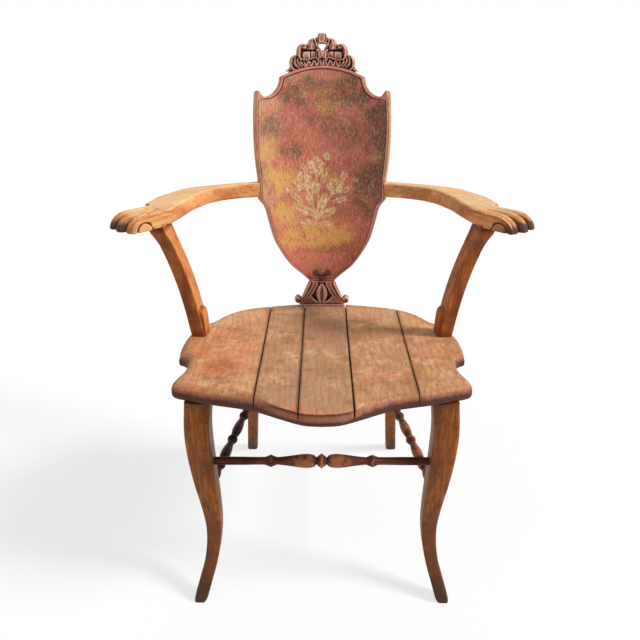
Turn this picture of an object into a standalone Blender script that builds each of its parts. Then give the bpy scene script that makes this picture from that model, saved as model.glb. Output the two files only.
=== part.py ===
"""Painted shield-back armchair.

Five doweled boards make the shaped seat. Curved front legs and raked rear legs are tenoned into it
and tied by turned stretchers. Leaning posts carry the arms, which are doweled to the edges of a bent
shield back, and a carved foot and crest stand below and above the shield.
Units are metres, +Z is up, the sitter faces -Y, and the origin is on the floor under the middle.
"""

from math import cos, floor, pi, radians, sin

import bmesh
import bpy
from mathutils import Matrix, Vector

for old in list(bpy.data.objects):
    bpy.data.objects.remove(old)

# Fits and joints
FIT = 0.0003                    # gap that touching pieces keep
SOCKET_FLOOR = 0.008            # wood left beyond the end of a blind socket
PEG_SIDES = 16
CURVE_STEPS = 3                 # steps between neighbouring points of a smooth outline
TURNING_STEPS = 14
BEAD_STEPS = 2                  # steps in half a turned bead
SWELL_STEPS = 4                 # steps from a turning's neck to its widest place
ARC_STEPS = 8
WELD = 1e-5                     # points nearer than this are made one
FLAT_ANGLE = radians(0.5)       # faces that meet at less than this are made one

# Seat: its frame starts at the middle of the front edge and falls towards the back
SEAT_HEIGHT = 0.449             # top of the front edge above the floor
SEAT_FRONT_Y = -0.27315
SEAT_SLOPE = radians(3.76)
SEAT_HALF_WIDTH = 0.2525
SEAT_DEPTH = 0.459
SEAT_THICKNESS = 0.025
SEAT_EDGE = 0.010               # rounding of the rim
SEAT_JOINT_SHARES = (-0.422, -0.141, 0.196, 0.610)    # of the half width
SEAT_GAPS = (0.0025, 0.0015, 0.0035, 0.0020)
SEAT_DOWEL_RADIUS = 0.004
SEAT_DOWEL_LENGTH = 0.036
SEAT_DOWEL_SHARES = (0.218, 0.741)    # of the depth
# Right half of the outline in three smooth runs, as shares of the half width and of the depth
SEAT_BACK_RUN = (
    (0, 1), (0.225, 0.988), (0.44, 0.962), (0.567, 0.942), (0.685, 0.908), (0.783, 0.855), (0.866, 0.78),
)
SEAT_REAR_LOBE = (
    (0.866, 0.78), (0.93, 0.745), (0.98, 0.675), (1.0, 0.585), (0.985, 0.50), (0.945, 0.41),
    (0.912, 0.346),
)
SEAT_FRONT_LOBE = (
    (0.912, 0.346), (0.935, 0.30), (0.958, 0.26), (0.967, 0.225), (0.955, 0.195), (0.92, 0.18),
    (0.86, 0.168), (0.783, 0.153), (0.675, 0.136), (0.44, 0.100), (0.254, 0.045), (0.117, 0.008), (0, 0),
)

# Front legs: height share, then how far out and forward of the top, and the thickness there
FRONT_LEG_INSET = 0.0515        # seat's half width to the centre of the leg's top
FRONT_LEG_SETBACK = 0.094       # seat's front edge to the centre of the leg's top
FRONT_LEG_LINE = (
    (1.00, 0.000, 0.000, 0.0430), (0.87, 0.005, 0.004, 0.0430), (0.63, 0.001, 0.004, 0.0405),
    (0.42, -0.006, -0.002, 0.0290), (0.30, -0.006, -0.005, 0.0240), (0.16, 0.003, 0.013, 0.0205),
    (0.08, 0.013, 0.029, 0.0210), (0.00, 0.023, 0.043, 0.0225),
)
FRONT_LEG_CHAMFER = 0.005
FRONT_TENON_RADIUS = 0.010

# Rear legs
REAR_LEG_INSET = 0.1130
REAR_LEG_SETBACK = 0.076        # seat's back edge to the centre of the leg's top
REAR_LEG_THICKNESS = 0.0235
REAR_LEG_SPLAY = 0.031          # how far the foot stands out from the top
REAR_LEG_RAKE = 0.122           # how far the foot stands behind the top
REAR_LEG_CHAMFER = 0.0025
REAR_TENON_RADIUS = 0.008

# Turned stretchers
STRETCHER_BORE = 0.012          # depth of the bore in a leg
FRONT_STRETCHER_HEIGHT = 0.292
SIDE_STRETCHER_FRONT_HEIGHT = 0.228
SIDE_STRETCHER_REAR_HEIGHT = 0.185
REAR_STRETCHER_LIFT = 0.040     # rear stretcher above the side ones, so that their bores miss
STRETCHER_END_RADIUS = 0.0067
STRETCHER_NECK_RADIUS = 0.0062
FRONT_VASE_RADIUS = 0.0120
FRONT_BEAD_RADIUS = 0.0125
FRONT_BEAD_HALF_WIDTH = 0.0085
FRONT_VASE_START = 0.0105       # from the middle of the stretcher
FRONT_VASE_BELLY = 0.0260
FRONT_VASE_END = 0.0760
FRONT_RING_PLACE = 0.0870
FRONT_RING_STEP = 0.0005
SIDE_VASE_RADIUS = 0.0100
SIDE_RING_RADIUS = 0.0100
SIDE_RING_HALF_WIDTH = 0.0060
SIDE_RING_SHARES = (0.18, 0.46, 0.76)
REAR_STRETCHER_RADIUS = 0.0090

# Arm posts
POST_INSET = 0.0200             # seat's half width to the centre of the base
POST_SHARE = 0.640              # place of the base along the seat's depth, on the rear lobe
POST_LEAN = 0.0530              # how far the top stands out from the base
POST_WIDTH = 0.028
POST_DEPTH = 0.042
POST_TURN = radians(7)          # turn that shows the inner face to the front
POST_CHAMFER = 0.007
POST_END_CHAMFER = 0.0015
POST_BOW = 0.0055
POST_HEEL = 0.004               # step above the heel, whose inner side stands upright
POST_HEEL_HEIGHT = 0.038
POST_HEEL_SLOPE = 0.006         # half the height of the step
POST_TENON_RADIUS = 0.009
POST_SHARES = (0.35, 0.50, 0.65, 0.80, 0.92)
POST_OVERRUN = 0.10             # share of the height by which the blank is cut off at each end

# Arms: bar outline in shares from root to post, hand outline from the centre of the post's top
ARM_TOP = 0.676
ARM_THICKNESS = 0.028
ARM_EDGE = 0.006
ARM_ROOT_DEPTH = 0.020
ARM_DOWEL_RADIUS = 0.004
ARM_DOWEL_LENGTH = 0.036
ARM_BAR_OUTER = ((0.24, -0.01), (0.53, 0.09), (0.83, 0.215))
HAND_OUTLINE = (
    (0.002, 0.098), (0.018, 0.073), (0.025, 0.050), (0.025, 0.032), (0.017, 0.021), (0.030, 0.010),
    (0.047, -0.006), (0.060, -0.012), (0.070, -0.020), (0.073, -0.029), (0.068, -0.035),
    (0.0615, -0.0345), (0.060, -0.043), (0.056, -0.050), (0.048, -0.050), (0.043, -0.055),
    (0.037, -0.062), (0.028, -0.061), (0.004, -0.046), (-0.023, -0.012),
)
ARM_BAR_INNER = ((0.76, 0.82), (0.69, 0.57), (0.555, 0.32), (0.30, 0.135))
HAND_NOTCH = 4                  # number of the corner behind the outer finger, counting from 0
HAND_GROOVES = ((0.0630, -0.0345), (0.0465, -0.0515))
HAND_GROOVE_LENGTH = 0.052
HAND_GROOVE_RADIUS = 0.003
HAND_POINTING = radians(-47)    # direction of the fingers in plan, on the right hand
KNUCKLES = 0.040                # from the post's centre to where the fingers start to curl down
HAND_CURL = 0.017               # how far the fingertips' tops drop
FINGER_LENGTH = 0.034
CURL_STEPS = 4

# Shield back: u runs along its bend, w behind its front face, z up along its tilt
BACK_SETBACK = 0.0165           # seat's back edge to the front of the shield's lower tip
BACK_TILT = radians(10.5)
PANEL_BEND = 0.317              # radius of the front face
PANEL_THICKNESS = 0.022
PANEL_HEIGHT = 0.4175
PANEL_FOOT_HALF = 0.0250
PANEL_ARM_HALF = 0.1235
PANEL_HALF_WIDTH = 0.1290
PANEL_WIDEST = (0.35, 0.70)     # stretch of that width, as shares from the arm to the ear's tip
PANEL_EAR_HALF = 0.1260
EAR_WIDTH = 0.009
EAR_FLARE = 0.0045              # from the ear's inner side to the lowest place of the scoop
EAR_RISE = 0.011
ARCH_HALF = 0.079
ARCH_RISE = 0.0205
SCOOP_DEPTH = 0.0365
PANEL_EDGE = 0.003
ARM_SEAT_MARGIN = 0.005         # flat on the shield's edge above and below the arm
# Lower sides, as shares from the tip to the flat where the arm joins
PANEL_OGEE = ((0.135, 0.075), (0.39, 0.207), (0.595, 0.39), (0.715, 0.54), (0.80, 0.73), (0.875, 0.90))
BEND_STEP = 0.018               # width of the facets that follow the bend

# Crest carving, above the middle of the arch
CREST_HALF = 0.068
CREST_THICKNESS = 0.017
CREST_SETBACK = 0.0025          # front of the carving behind the front of the shield
CREST_OUTLINE = (
    (0.0625, 0.002), (0.0590, 0.012), (0.0545, 0.0195), (0.0490, 0.0225), (0.0465, 0.029),
    (0.0440, 0.036), (0.0380, 0.0385), (0.0310, 0.0370), (0.0270, 0.041), (0.0215, 0.0465),
    (0.0165, 0.0455), (0.0125, 0.041), (0.0105, 0.047), (0.0080, 0.055), (0.0, 0.0575),
)
CREST_EYE = ((0.0, 0.0275), (0.0050, 0.0310), (0.0095, 0.0370), (0.0, 0.0385))
CREST_SLOT = ((0.0150, 0.0245), (0.0350, 0.0225), (0.0340, 0.0275), (0.0160, 0.0280))
CREST_DOWEL_RADIUS = 0.003
CREST_DOWEL_LENGTH = 0.022
CREST_DOWEL_PLACE = 0.028

# Foot carving: half outline as half width and height above the seat at the front of the foot
FOOT_HEIGHT = 0.055
FOOT_THICKNESS = 0.026
FOOT_FRONT = -0.005             # front of the foot against the front of the shield
FOOT_PLATE_HALF = 0.048
FOOT_PLATE_HEIGHT = 0.010
FOOT_SCROLL_PLACE = 0.0480
FOOT_SCROLL_HEIGHT = 0.0180
FOOT_SCROLL_RADIUS = 0.0065
FOOT_SCROLL_SWEEP = (radians(-60), radians(171))
FOOT_WAIST = ((0.0375, 0.0235), (0.0325, 0.036), (0.0285, 0.047))
FOOT_DOWEL_RADIUS = 0.003
FOOT_DOWEL_LENGTH = 0.026
FOOT_PANEL_DOWEL_PLACE = 0.012
FOOT_SEAT_DOWEL_PLACE = 0.022

# Berries on the tip of the shield
BERRY_RADIUS = 0.0056
BERRY_SPREAD = 0.0118
BERRY_HEIGHT = 0.0180
BERRY_DROP = 0.0105
BERRY_PAD = 0.0030
BERRY_SEGMENTS = 10
BERRY_RINGS = 6

# Colours and roughness of the finishes
FINISHES = {
    "bare_wood": ((0.62, 0.36, 0.17, 1), 0.55),
    "seat_wood": ((0.56, 0.38, 0.24, 1), 0.70),
    "rear_leg_wood": ((0.30, 0.14, 0.04, 1), 0.55),
    "stained_turning": ((0.13, 0.06, 0.04, 1), 0.45),
    "painted_shield": ((0.36, 0.13, 0.09, 1), 0.60),
    "carved_wood": ((0.30, 0.15, 0.11, 1), 0.60),
    "dowel_wood": ((0.55, 0.40, 0.24, 1), 0.60),
}

chair = bpy.data.collections.new("painted_armchair")
cutters = bpy.data.collections.new("cutters")
for collection in (chair, cutters):
    bpy.context.scene.collection.children.link(collection)


def finish(name):
    """The material of one finish, made the first time that it is asked for."""
    material = bpy.data.materials.get(name)
    if material is None:
        material = bpy.data.materials.new(name)
        material.use_nodes = True
        shader = material.node_tree.nodes["Principled BSDF"]
        colour, roughness = FINISHES[name]
        shader.inputs["Base Color"].default_value = colour
        shader.inputs["Roughness"].default_value = roughness
        shader.inputs["Metallic"].default_value = 0.0
    return material


def place(name, shape, frame, material, smooth_angle=radians(35)):
    """Makes a named piece of the chair from a closed bmesh."""
    mesh = bpy.data.meshes.new(name)
    bmesh.ops.recalc_face_normals(shape, faces=shape.faces)
    shape.to_mesh(mesh)
    shape.free()
    mesh.shade_smooth()
    mesh.set_sharp_from_angle(angle=smooth_angle)
    mesh.materials.append(finish(material))
    piece = bpy.data.objects.new(name, mesh)
    piece.matrix_world = frame
    chair.objects.link(piece)
    return piece


def helper(name, shape, frame):
    """Makes a cutter, or a tenon that is joined to a piece. It isn't a piece of its own."""
    mesh = bpy.data.meshes.new(name)
    bmesh.ops.recalc_face_normals(shape, faces=shape.faces)
    shape.to_mesh(mesh)
    shape.free()
    tool = bpy.data.objects.new(name, mesh)
    tool.matrix_world = frame
    tool.hide_render = True
    tool.display_type = "WIRE"
    cutters.objects.link(tool)
    return tool


def combine(piece, tool, operation):
    modifier = piece.modifiers.new(tool.name, "BOOLEAN")
    modifier.operation = operation
    modifier.solver = "EXACT"
    modifier.object = tool


def along(start, direction):
    """Frame at a point with its Z along a direction."""
    turn = Vector(direction).to_track_quat("Z", "Y").to_matrix().to_4x4()
    return Matrix.Translation(start) @ turn


def rod(radius, length):
    """Round bar from the origin up."""
    shape = bmesh.new()
    bmesh.ops.create_cone(
        shape, cap_ends=True, segments=PEG_SIDES, radius1=radius, radius2=radius, depth=length,
        matrix=Matrix.Translation((0, 0, length / 2)),
    )
    return shape


def smooth_run(points):
    """Smooth curve through the points, from the first to the last."""
    points = [Vector(point) for point in points]
    padded = [2 * points[0] - points[1]] + points + [2 * points[-1] - points[-2]]
    run = []
    for before, start, end, after in zip(padded, padded[1:], padded[2:], padded[3:]):
        for step in range(CURVE_STEPS):
            t = step / CURVE_STEPS
            run.append(0.5 * (
                2 * start + (end - before) * t
                + (2 * before - 5 * start + 4 * end - after) * t ** 2
                + (3 * start - before - 3 * end + after) * t ** 3
            ))
    return run + [points[-1]]


def arc(centre, radius, first, last):
    angles = [first + (last - first) * step / ARC_STEPS for step in range(ARC_STEPS + 1)]
    return [Vector((centre[0] + radius * cos(a), centre[1] + radius * sin(a))) for a in angles]


def both_sides(half):
    """Closed outline from its right half, whose first and last points lie on the middle line."""
    return list(half) + [Vector((-point[0], point[1])) for point in reversed(half[1:-1])]


def flat_shape(outlines, thickness, edge, edge_steps=1):
    """Plate of the first outline with the others cut through it, centred on its thickness."""
    curve = bpy.data.curves.new("outline", "CURVE")
    curve.dimensions = "2D"
    curve.fill_mode = "BOTH"
    curve.extrude = thickness / 2 - edge
    curve.bevel_depth = edge
    curve.bevel_resolution = edge_steps - 1
    curve.offset = -edge
    for outline in outlines:
        spline = curve.splines.new("POLY")
        spline.points.add(len(outline) - 1)
        for point, (x, y) in zip(spline.points, outline):
            point.co = (x, y, 0, 1)
        spline.use_cyclic_u = True
    guide = bpy.data.objects.new("outline", curve)
    bpy.context.scene.collection.objects.link(guide)
    graph = bpy.context.evaluated_depsgraph_get()
    mesh = bpy.data.meshes.new_from_object(guide.evaluated_get(graph))
    bpy.data.objects.remove(guide)
    shape = bmesh.new()
    shape.from_mesh(mesh)
    bpy.data.meshes.remove(mesh)
    bmesh.ops.remove_doubles(shape, verts=shape.verts, dist=WELD)
    bmesh.ops.recalc_face_normals(shape, faces=shape.faces)
    bmesh.ops.dissolve_limit(shape, angle_limit=FLAT_ANGLE, verts=shape.verts, edges=shape.edges)
    return shape


def slice_off(shape, point, normal):
    """Removes what lies beyond a plane and closes the cut."""
    everything = shape.verts[:] + shape.edges[:] + shape.faces[:]
    bmesh.ops.bisect_plane(shape, geom=everything, plane_co=point, plane_no=normal, clear_outer=True)
    open_edges = [edge for edge in shape.edges if edge.is_boundary]
    bmesh.ops.holes_fill(shape, edges=open_edges, sides=0)


def loft(sections):
    """Closed body through sections with as many points each."""
    shape = bmesh.new()
    rows = [[shape.verts.new(point) for point in section] for section in sections]
    count = len(rows[0])
    for low, high in zip(rows, rows[1:]):
        for i in range(count):
            j = (i + 1) % count
            shape.faces.new((low[i], low[j], high[j], high[i]))
    shape.faces.new(rows[0])
    shape.faces.new(rows[-1])
    return shape


def chamfered(centre, half_x, half_y, chamfer, turn=0.0):
    """Level section of a square bar with its corners taken off, the +X side first."""
    corner = [
        (half_x, chamfer - half_y), (half_x, half_y - chamfer), (half_x - chamfer, half_y),
        (chamfer - half_x, half_y), (-half_x, half_y - chamfer), (-half_x, chamfer - half_y),
        (chamfer - half_x, -half_y), (half_x - chamfer, -half_y),
    ]
    spin = Matrix.Rotation(turn, 3, "Z")
    return [Vector(centre) + spin @ Vector((x, y, 0)) for x, y in corner]


def turned(name, profile, start, direction):
    """Turned piece from (place along its axis, radius), starting at one end."""
    mesh = bpy.data.meshes.new(name)
    points = [(profile[0][0], 0)] + list(profile) + [(profile[-1][0], 0)]
    verts = [(radius, 0, height) for height, radius in reversed(points)]
    mesh.from_pydata(verts, [(i, i + 1) for i in range(len(verts) - 1)], [])
    mesh.materials.append(finish("stained_turning"))
    piece = bpy.data.objects.new(name, mesh)
    piece.matrix_world = along(start, direction)
    chair.objects.link(piece)
    screw = piece.modifiers.new("turning", "SCREW")
    screw.steps = TURNING_STEPS
    screw.render_steps = TURNING_STEPS
    screw.use_merge_vertices = True
    screw.merge_threshold = 0.0001
    screw.use_smooth_shade = True
    return piece


def bead(centre, half_width, neck, radius):
    """Half-round bead on a turning, as profile points."""
    angles = [pi / 2 * step / BEAD_STEPS for step in range(2 * BEAD_STEPS + 1)]
    return [(centre - half_width * cos(a), neck + (radius - neck) * sin(a)) for a in angles]


def swell(start, end, first, last):
    """Smooth change of radius along a turning, without its last point."""
    points = []
    for step in range(SWELL_STEPS):
        share = step / SWELL_STEPS
        blend = (1 - cos(pi * share)) / 2
        points.append((start + (end - start) * share, first + (last - first) * blend))
    return points


SIDES = {"left": -1, "right": 1}
INNER_CORNERS = range(3, 7)     # points of a chamfered section on its -X side

# Seat
SEAT_FRAME = Matrix.Translation((0, SEAT_FRONT_Y, SEAT_HEIGHT)) @ Matrix.Rotation(-SEAT_SLOPE, 4, "X")
SEAT_UP = SEAT_FRAME.to_3x3() @ Vector((0, 0, 1))
SEAT_TENON = SEAT_THICKNESS - SOCKET_FLOOR - FIT
sockets = []                    # (name, start, direction, radius, length, left and right end)


def on_seat(x, y, depth=0.0):
    """Point of the seat's top, or the given depth below it."""
    return SEAT_FRAME @ Vector((x, y, -depth))


def add_socket(name, start, direction, radius, length):
    """Notes a round socket in the seat. It starts outside the wood and ends at its floor."""
    end = start + direction * length
    reach = radius + FIT
    span = (min(start.x, end.x) - reach, max(start.x, end.x) + reach)
    sockets.append((name, start, direction, reach, length, span))


def seat_blank():
    runs = [smooth_run(run) for run in (SEAT_BACK_RUN, SEAT_REAR_LOBE, SEAT_FRONT_LOBE)]
    half = runs[0][:-1] + runs[1][:-1] + runs[2]
    half = [Vector((x * SEAT_HALF_WIDTH, y * SEAT_DEPTH)) for x, y in half]
    shape = flat_shape([both_sides(half)], SEAT_THICKNESS, SEAT_EDGE, 2)
    bmesh.ops.translate(shape, verts=shape.verts, vec=(0, 0, -SEAT_THICKNESS / 2))
    return shape


blank = bpy.data.meshes.new("seat_blank")
seat_shape = seat_blank()
seat_shape.to_mesh(blank)
seat_shape.free()
seat_joints = [share * SEAT_HALF_WIDTH for share in SEAT_JOINT_SHARES]
lefts = [-SEAT_HALF_WIDTH] + [joint + gap / 2 for joint, gap in zip(seat_joints, SEAT_GAPS)]
rights = [joint - gap / 2 for joint, gap in zip(seat_joints, SEAT_GAPS)] + [SEAT_HALF_WIDTH]
boards = []
for number, (left, right) in enumerate(zip(lefts, rights), 1):
    board = bmesh.new()
    board.from_mesh(blank)
    if number > 1:
        slice_off(board, (left, 0, 0), (-1, 0, 0))
    if number < len(rights):
        slice_off(board, (right, 0, 0), (1, 0, 0))
    boards.append((place(f"seat_board_{number}", board, SEAT_FRAME, "seat_wood"), left, right))
bpy.data.meshes.remove(blank)

dowel_number = 0
for joint in seat_joints:
    for share in SEAT_DOWEL_SHARES:
        dowel_number += 1
        setback = share * SEAT_DEPTH
        start = on_seat(joint - SEAT_DOWEL_LENGTH / 2, setback, SEAT_THICKNESS / 2)
        across = Vector((1, 0, 0))
        place(
            f"seat_dowel_{dowel_number}", rod(SEAT_DOWEL_RADIUS, SEAT_DOWEL_LENGTH),
            along(start, across), "dowel_wood",
        )
        add_socket(
            f"dowel_socket_{dowel_number}", start - FIT * across, across,
            SEAT_DOWEL_RADIUS, SEAT_DOWEL_LENGTH + 2 * FIT,
        )

# Legs
OVERRUN = 0.012                 # how far a helper reaches past the face that it cuts or joins


def seat_tenon(leg, name, foot_of_tenon, direction, radius):
    """Joins a round tenon to a leg and notes its socket. The point lies on the seat's underside."""
    tenon = helper(
        f"{name}_tenon", rod(radius, OVERRUN + SEAT_TENON),
        along(foot_of_tenon - direction * OVERRUN, direction),
    )
    combine(leg, tenon, "UNION")
    add_socket(
        f"{name}_socket", foot_of_tenon - direction * OVERRUN, direction, radius,
        OVERRUN + SEAT_TENON + FIT,
    )


def bore(piece, name, mouth, direction, radius, depth):
    """Blind round bore into a piece, from its mouth inwards."""
    cutter = helper(
        name, rod(radius + FIT, depth + FIT + OVERRUN), along(mouth - direction * OVERRUN, direction)
    )
    combine(piece, cutter, "DIFFERENCE")


front_x = SEAT_HALF_WIDTH - FRONT_LEG_INSET
front_top = on_seat(front_x, FRONT_LEG_SETBACK, SEAT_THICKNESS)


def front_leg_levels():
    """(height, outward x, y, thickness) of the front leg's sections, from the top down."""
    run = smooth_run([(share, *line) for share, *line in FRONT_LEG_LINE])
    return [
        (share * front_top.z, front_top.x + out, front_top.y - forward, thickness)
        for share, out, forward, thickness in run
    ]


def front_leg_at(height):
    """(outward x, y, thickness) of the front leg at a height."""
    levels = front_leg_levels()
    for high, low in zip(levels, levels[1:]):
        if low[0] <= height <= high[0]:
            share = (height - low[0]) / (high[0] - low[0])
            return [b + (a - b) * share for a, b in zip(high[1:], low[1:])]
    return levels[0][1:]


front_legs = {}
for side, sign in SIDES.items():
    levels = front_leg_levels()
    levels.insert(0, (front_top.z + OVERRUN, *levels[0][1:]))
    leg = loft([
        chamfered((sign * x, y, height), thickness / 2, thickness / 2, FRONT_LEG_CHAMFER)
        for height, x, y, thickness in levels
    ])
    top = Vector((sign * front_top.x, front_top.y, front_top.z))
    slice_off(leg, top - SEAT_UP * FIT, SEAT_UP)
    name = f"front_leg_{side}"
    front_legs[side] = place(name, leg, Matrix(), "bare_wood")
    seat_tenon(front_legs[side], name, top, SEAT_UP, FRONT_TENON_RADIUS)

rear_x = SEAT_HALF_WIDTH - REAR_LEG_INSET
rear_top = on_seat(rear_x, SEAT_DEPTH - REAR_LEG_SETBACK, SEAT_THICKNESS)
REAR_LEG_RUN = Vector((-REAR_LEG_SPLAY, -REAR_LEG_RAKE, rear_top.z))


def rear_leg_at(height):
    """Centre of the rear leg at a height, on the right side."""
    return rear_top - REAR_LEG_RUN * ((rear_top.z - height) / rear_top.z)


rear_legs = {}
for side, sign in SIDES.items():
    half = REAR_LEG_THICKNESS / 2
    sections = []
    for height in (0, rear_top.z + OVERRUN):
        centre = rear_leg_at(height)
        sections.append(chamfered((sign * centre.x, centre.y, height), half, half, REAR_LEG_CHAMFER))
    leg = loft(sections)
    top = Vector((sign * rear_top.x, rear_top.y, rear_top.z))
    slice_off(leg, top - SEAT_UP * FIT, SEAT_UP)
    name = f"rear_leg_{side}"
    rear_legs[side] = place(name, leg, Matrix(), "rear_leg_wood")
    axis = Vector((sign * REAR_LEG_RUN.x, REAR_LEG_RUN.y, REAR_LEG_RUN.z)).normalized()
    seat_tenon(rear_legs[side], name, top, axis, REAR_TENON_RADIUS)

# Front stretcher
leg_x, leg_y, leg_thickness = front_leg_at(FRONT_STRETCHER_HEIGHT)
face_x = leg_x - leg_thickness / 2
half_length = face_x + STRETCHER_BORE - FIT
right_half = bead(0, FRONT_BEAD_HALF_WIDTH, STRETCHER_NECK_RADIUS, FRONT_BEAD_RADIUS)[BEAD_STEPS:]
right_half += swell(FRONT_VASE_START, FRONT_VASE_BELLY, STRETCHER_NECK_RADIUS, FRONT_VASE_RADIUS)
right_half += swell(FRONT_VASE_BELLY, FRONT_VASE_END, FRONT_VASE_RADIUS, STRETCHER_END_RADIUS)
right_half += bead(
    FRONT_RING_PLACE, FRONT_BEAD_HALF_WIDTH, STRETCHER_END_RADIUS + FRONT_RING_STEP, FRONT_VASE_RADIUS
)
right_half += [(half_length, STRETCHER_END_RADIUS)]
profile = [(-place_along, radius) for place_along, radius in reversed(right_half[1:])] + right_half
turned("front_stretcher", profile, (0, leg_y, FRONT_STRETCHER_HEIGHT), (1, 0, 0))
for side, sign in SIDES.items():
    mouth = Vector((sign * face_x, leg_y, FRONT_STRETCHER_HEIGHT))
    bore(
        front_legs[side], f"front_stretcher_bore_{side}", mouth, Vector((sign, 0, 0)),
        STRETCHER_END_RADIUS, STRETCHER_BORE,
    )


def side_profile(length):
    """Profile of a side stretcher between its bores: rings with a vase on each side of them."""
    ring_places = [share * length for share in SIDE_RING_SHARES]
    stops = [0.0] + ring_places + [length]
    points = []
    for start, end in zip(stops, stops[1:]):
        first = start + (SIDE_RING_HALF_WIDTH if start > 0 else 0)
        last = end - (SIDE_RING_HALF_WIDTH if end < length else 0)
        belly = (first + last) / 2
        points += swell(first, belly, STRETCHER_NECK_RADIUS, SIDE_VASE_RADIUS)
        points += swell(belly, last, SIDE_VASE_RADIUS, STRETCHER_NECK_RADIUS)
        if end < length:
            points += bead(end, SIDE_RING_HALF_WIDTH, STRETCHER_NECK_RADIUS, SIDE_RING_RADIUS)
    return points + [(length, STRETCHER_NECK_RADIUS)]


# Side stretchers
for side, sign in SIDES.items():
    x, y, thickness = front_leg_at(SIDE_STRETCHER_FRONT_HEIGHT)
    front = Vector((sign * x, y, SIDE_STRETCHER_FRONT_HEIGHT))
    centre = rear_leg_at(SIDE_STRETCHER_REAR_HEIGHT)
    rear = Vector((sign * centre.x, centre.y, centre.z))
    axis = (rear - front).normalized()
    front_face = front + axis * (thickness / 2 / axis.y)
    rear_face = rear - axis * (REAR_LEG_THICKNESS / 2 / axis.y)
    clear = (rear_face - front_face).length
    buried = STRETCHER_BORE - FIT
    points = [(-buried, STRETCHER_NECK_RADIUS)] + side_profile(clear)
    points += [(clear + buried, STRETCHER_NECK_RADIUS)]
    turned(f"side_stretcher_{side}", points, front_face, axis)
    bore(
        front_legs[side], f"side_bore_front_{side}", front_face, -axis,
        STRETCHER_NECK_RADIUS, STRETCHER_BORE,
    )
    bore(
        rear_legs[side], f"side_bore_rear_{side}", rear_face, axis,
        STRETCHER_NECK_RADIUS, STRETCHER_BORE,
    )

# Rear stretcher
centre = rear_leg_at(SIDE_STRETCHER_REAR_HEIGHT + REAR_STRETCHER_LIFT)
face_x = centre.x - REAR_LEG_THICKNESS / 2
half_length = face_x + STRETCHER_BORE - FIT
right_half = swell(0, face_x, REAR_STRETCHER_RADIUS, STRETCHER_NECK_RADIUS)
right_half += [(half_length, STRETCHER_NECK_RADIUS)]
profile = [(-place_along, radius) for place_along, radius in reversed(right_half[1:])] + right_half
turned("rear_stretcher", profile, (0, centre.y, centre.z), (1, 0, 0))
for side, sign in SIDES.items():
    mouth = Vector((sign * face_x, centre.y, centre.z))
    bore(
        rear_legs[side], f"rear_stretcher_bore_{side}", mouth, Vector((sign, 0, 0)),
        STRETCHER_NECK_RADIUS, STRETCHER_BORE,
    )

# Arm posts
ARM_BOTTOM = ARM_TOP - ARM_THICKNESS
ARM_TENON = ARM_THICKNESS - SOCKET_FLOOR - FIT
post_base = on_seat(SEAT_HALF_WIDTH - POST_INSET, POST_SHARE * SEAT_DEPTH)
post_top = Vector((post_base.x + POST_LEAN, post_base.y, ARM_BOTTOM))
post_rise = post_top - post_base
HEEL_LEVELS = [
    height / post_rise.z
    for height in (POST_HEEL_HEIGHT - POST_HEEL_SLOPE, POST_HEEL_HEIGHT + POST_HEEL_SLOPE)
]
POST_LEVELS = [-POST_OVERRUN, 0.0] + HEEL_LEVELS + list(POST_SHARES) + [1.0, 1.0 + POST_OVERRUN]


def post_middle(share):
    """One half way up the post, falling to zero at its ends."""
    return min(max(4 * share * (1 - share), 0), 1)


def post_line(share):
    """Outward place of the post's centre, at a share of the way from the seat to the arm."""
    return post_base.x + post_rise.x * share - POST_BOW * post_middle(share)


def post_section(share, sign):
    """Level section of an arm post, at a share of the way from the seat to the arm."""
    chamfer = POST_END_CHAMFER + (POST_CHAMFER - POST_END_CHAMFER) * post_middle(share) ** 0.5
    section = chamfered((0, 0, 0), POST_WIDTH / 2, POST_DEPTH / 2, chamfer, POST_TURN)
    upright = share <= HEEL_LEVELS[0]
    inner_x = post_line(HEEL_LEVELS[1]) - POST_HEEL if upright else post_line(share)
    points = []
    for number, corner in enumerate(section):
        x = inner_x if number in INNER_CORNERS else post_line(share)
        height = post_base.z + post_rise.z * share
        points.append(Vector((sign * (x + corner.x), post_base.y + corner.y, height)))
    return points


posts = {}
for side, sign in SIDES.items():
    post = loft([post_section(share, sign) for share in POST_LEVELS])
    base = Vector((sign * post_base.x, post_base.y, post_base.z))
    top = Vector((sign * post_top.x, post_top.y, post_top.z))
    slice_off(post, base + SEAT_UP * FIT, -SEAT_UP)
    slice_off(post, top - Vector((0, 0, FIT)), (0, 0, 1))
    name = f"arm_post_{side}"
    posts[side] = place(name, post, Matrix(), "bare_wood")
    foot = helper(
        f"{name}_foot_tenon", rod(POST_TENON_RADIUS, OVERRUN + SEAT_TENON),
        along(base + SEAT_UP * OVERRUN, -SEAT_UP),
    )
    combine(posts[side], foot, "UNION")
    add_socket(
        f"{name}_socket", base + SEAT_UP * OVERRUN, -SEAT_UP, POST_TENON_RADIUS,
        OVERRUN + SEAT_TENON + FIT,
    )
    head = helper(
        f"{name}_head_tenon", rod(POST_TENON_RADIUS, OVERRUN + ARM_TENON),
        along(top - Vector((0, 0, OVERRUN)), (0, 0, 1)),
    )
    combine(posts[side], head, "UNION")

# Shield back
back_y = SEAT_DEPTH - BACK_SETBACK
back_foot = on_seat(0, back_y) + Vector((0, 0, FOOT_HEIGHT))
BACK_FRAME = Matrix.Translation(back_foot) @ Matrix.Rotation(-BACK_TILT, 4, "X")
BACK_UP = BACK_FRAME.to_3x3() @ Vector((0, 0, 1))


def bent(u, w, z):
    """Point of the back in its own frame. The shield's bend is made of flat facets."""
    facet = floor(u / BEND_STEP)
    angles = [number * BEND_STEP / PANEL_BEND for number in (facet, facet + 1)]
    first, last = [(PANEL_BEND + w) * Vector((sin(angle), cos(angle))) for angle in angles]
    x, y = first.lerp(last, u / BEND_STEP - facet)
    return Vector((x, y - PANEL_BEND, z))


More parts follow.
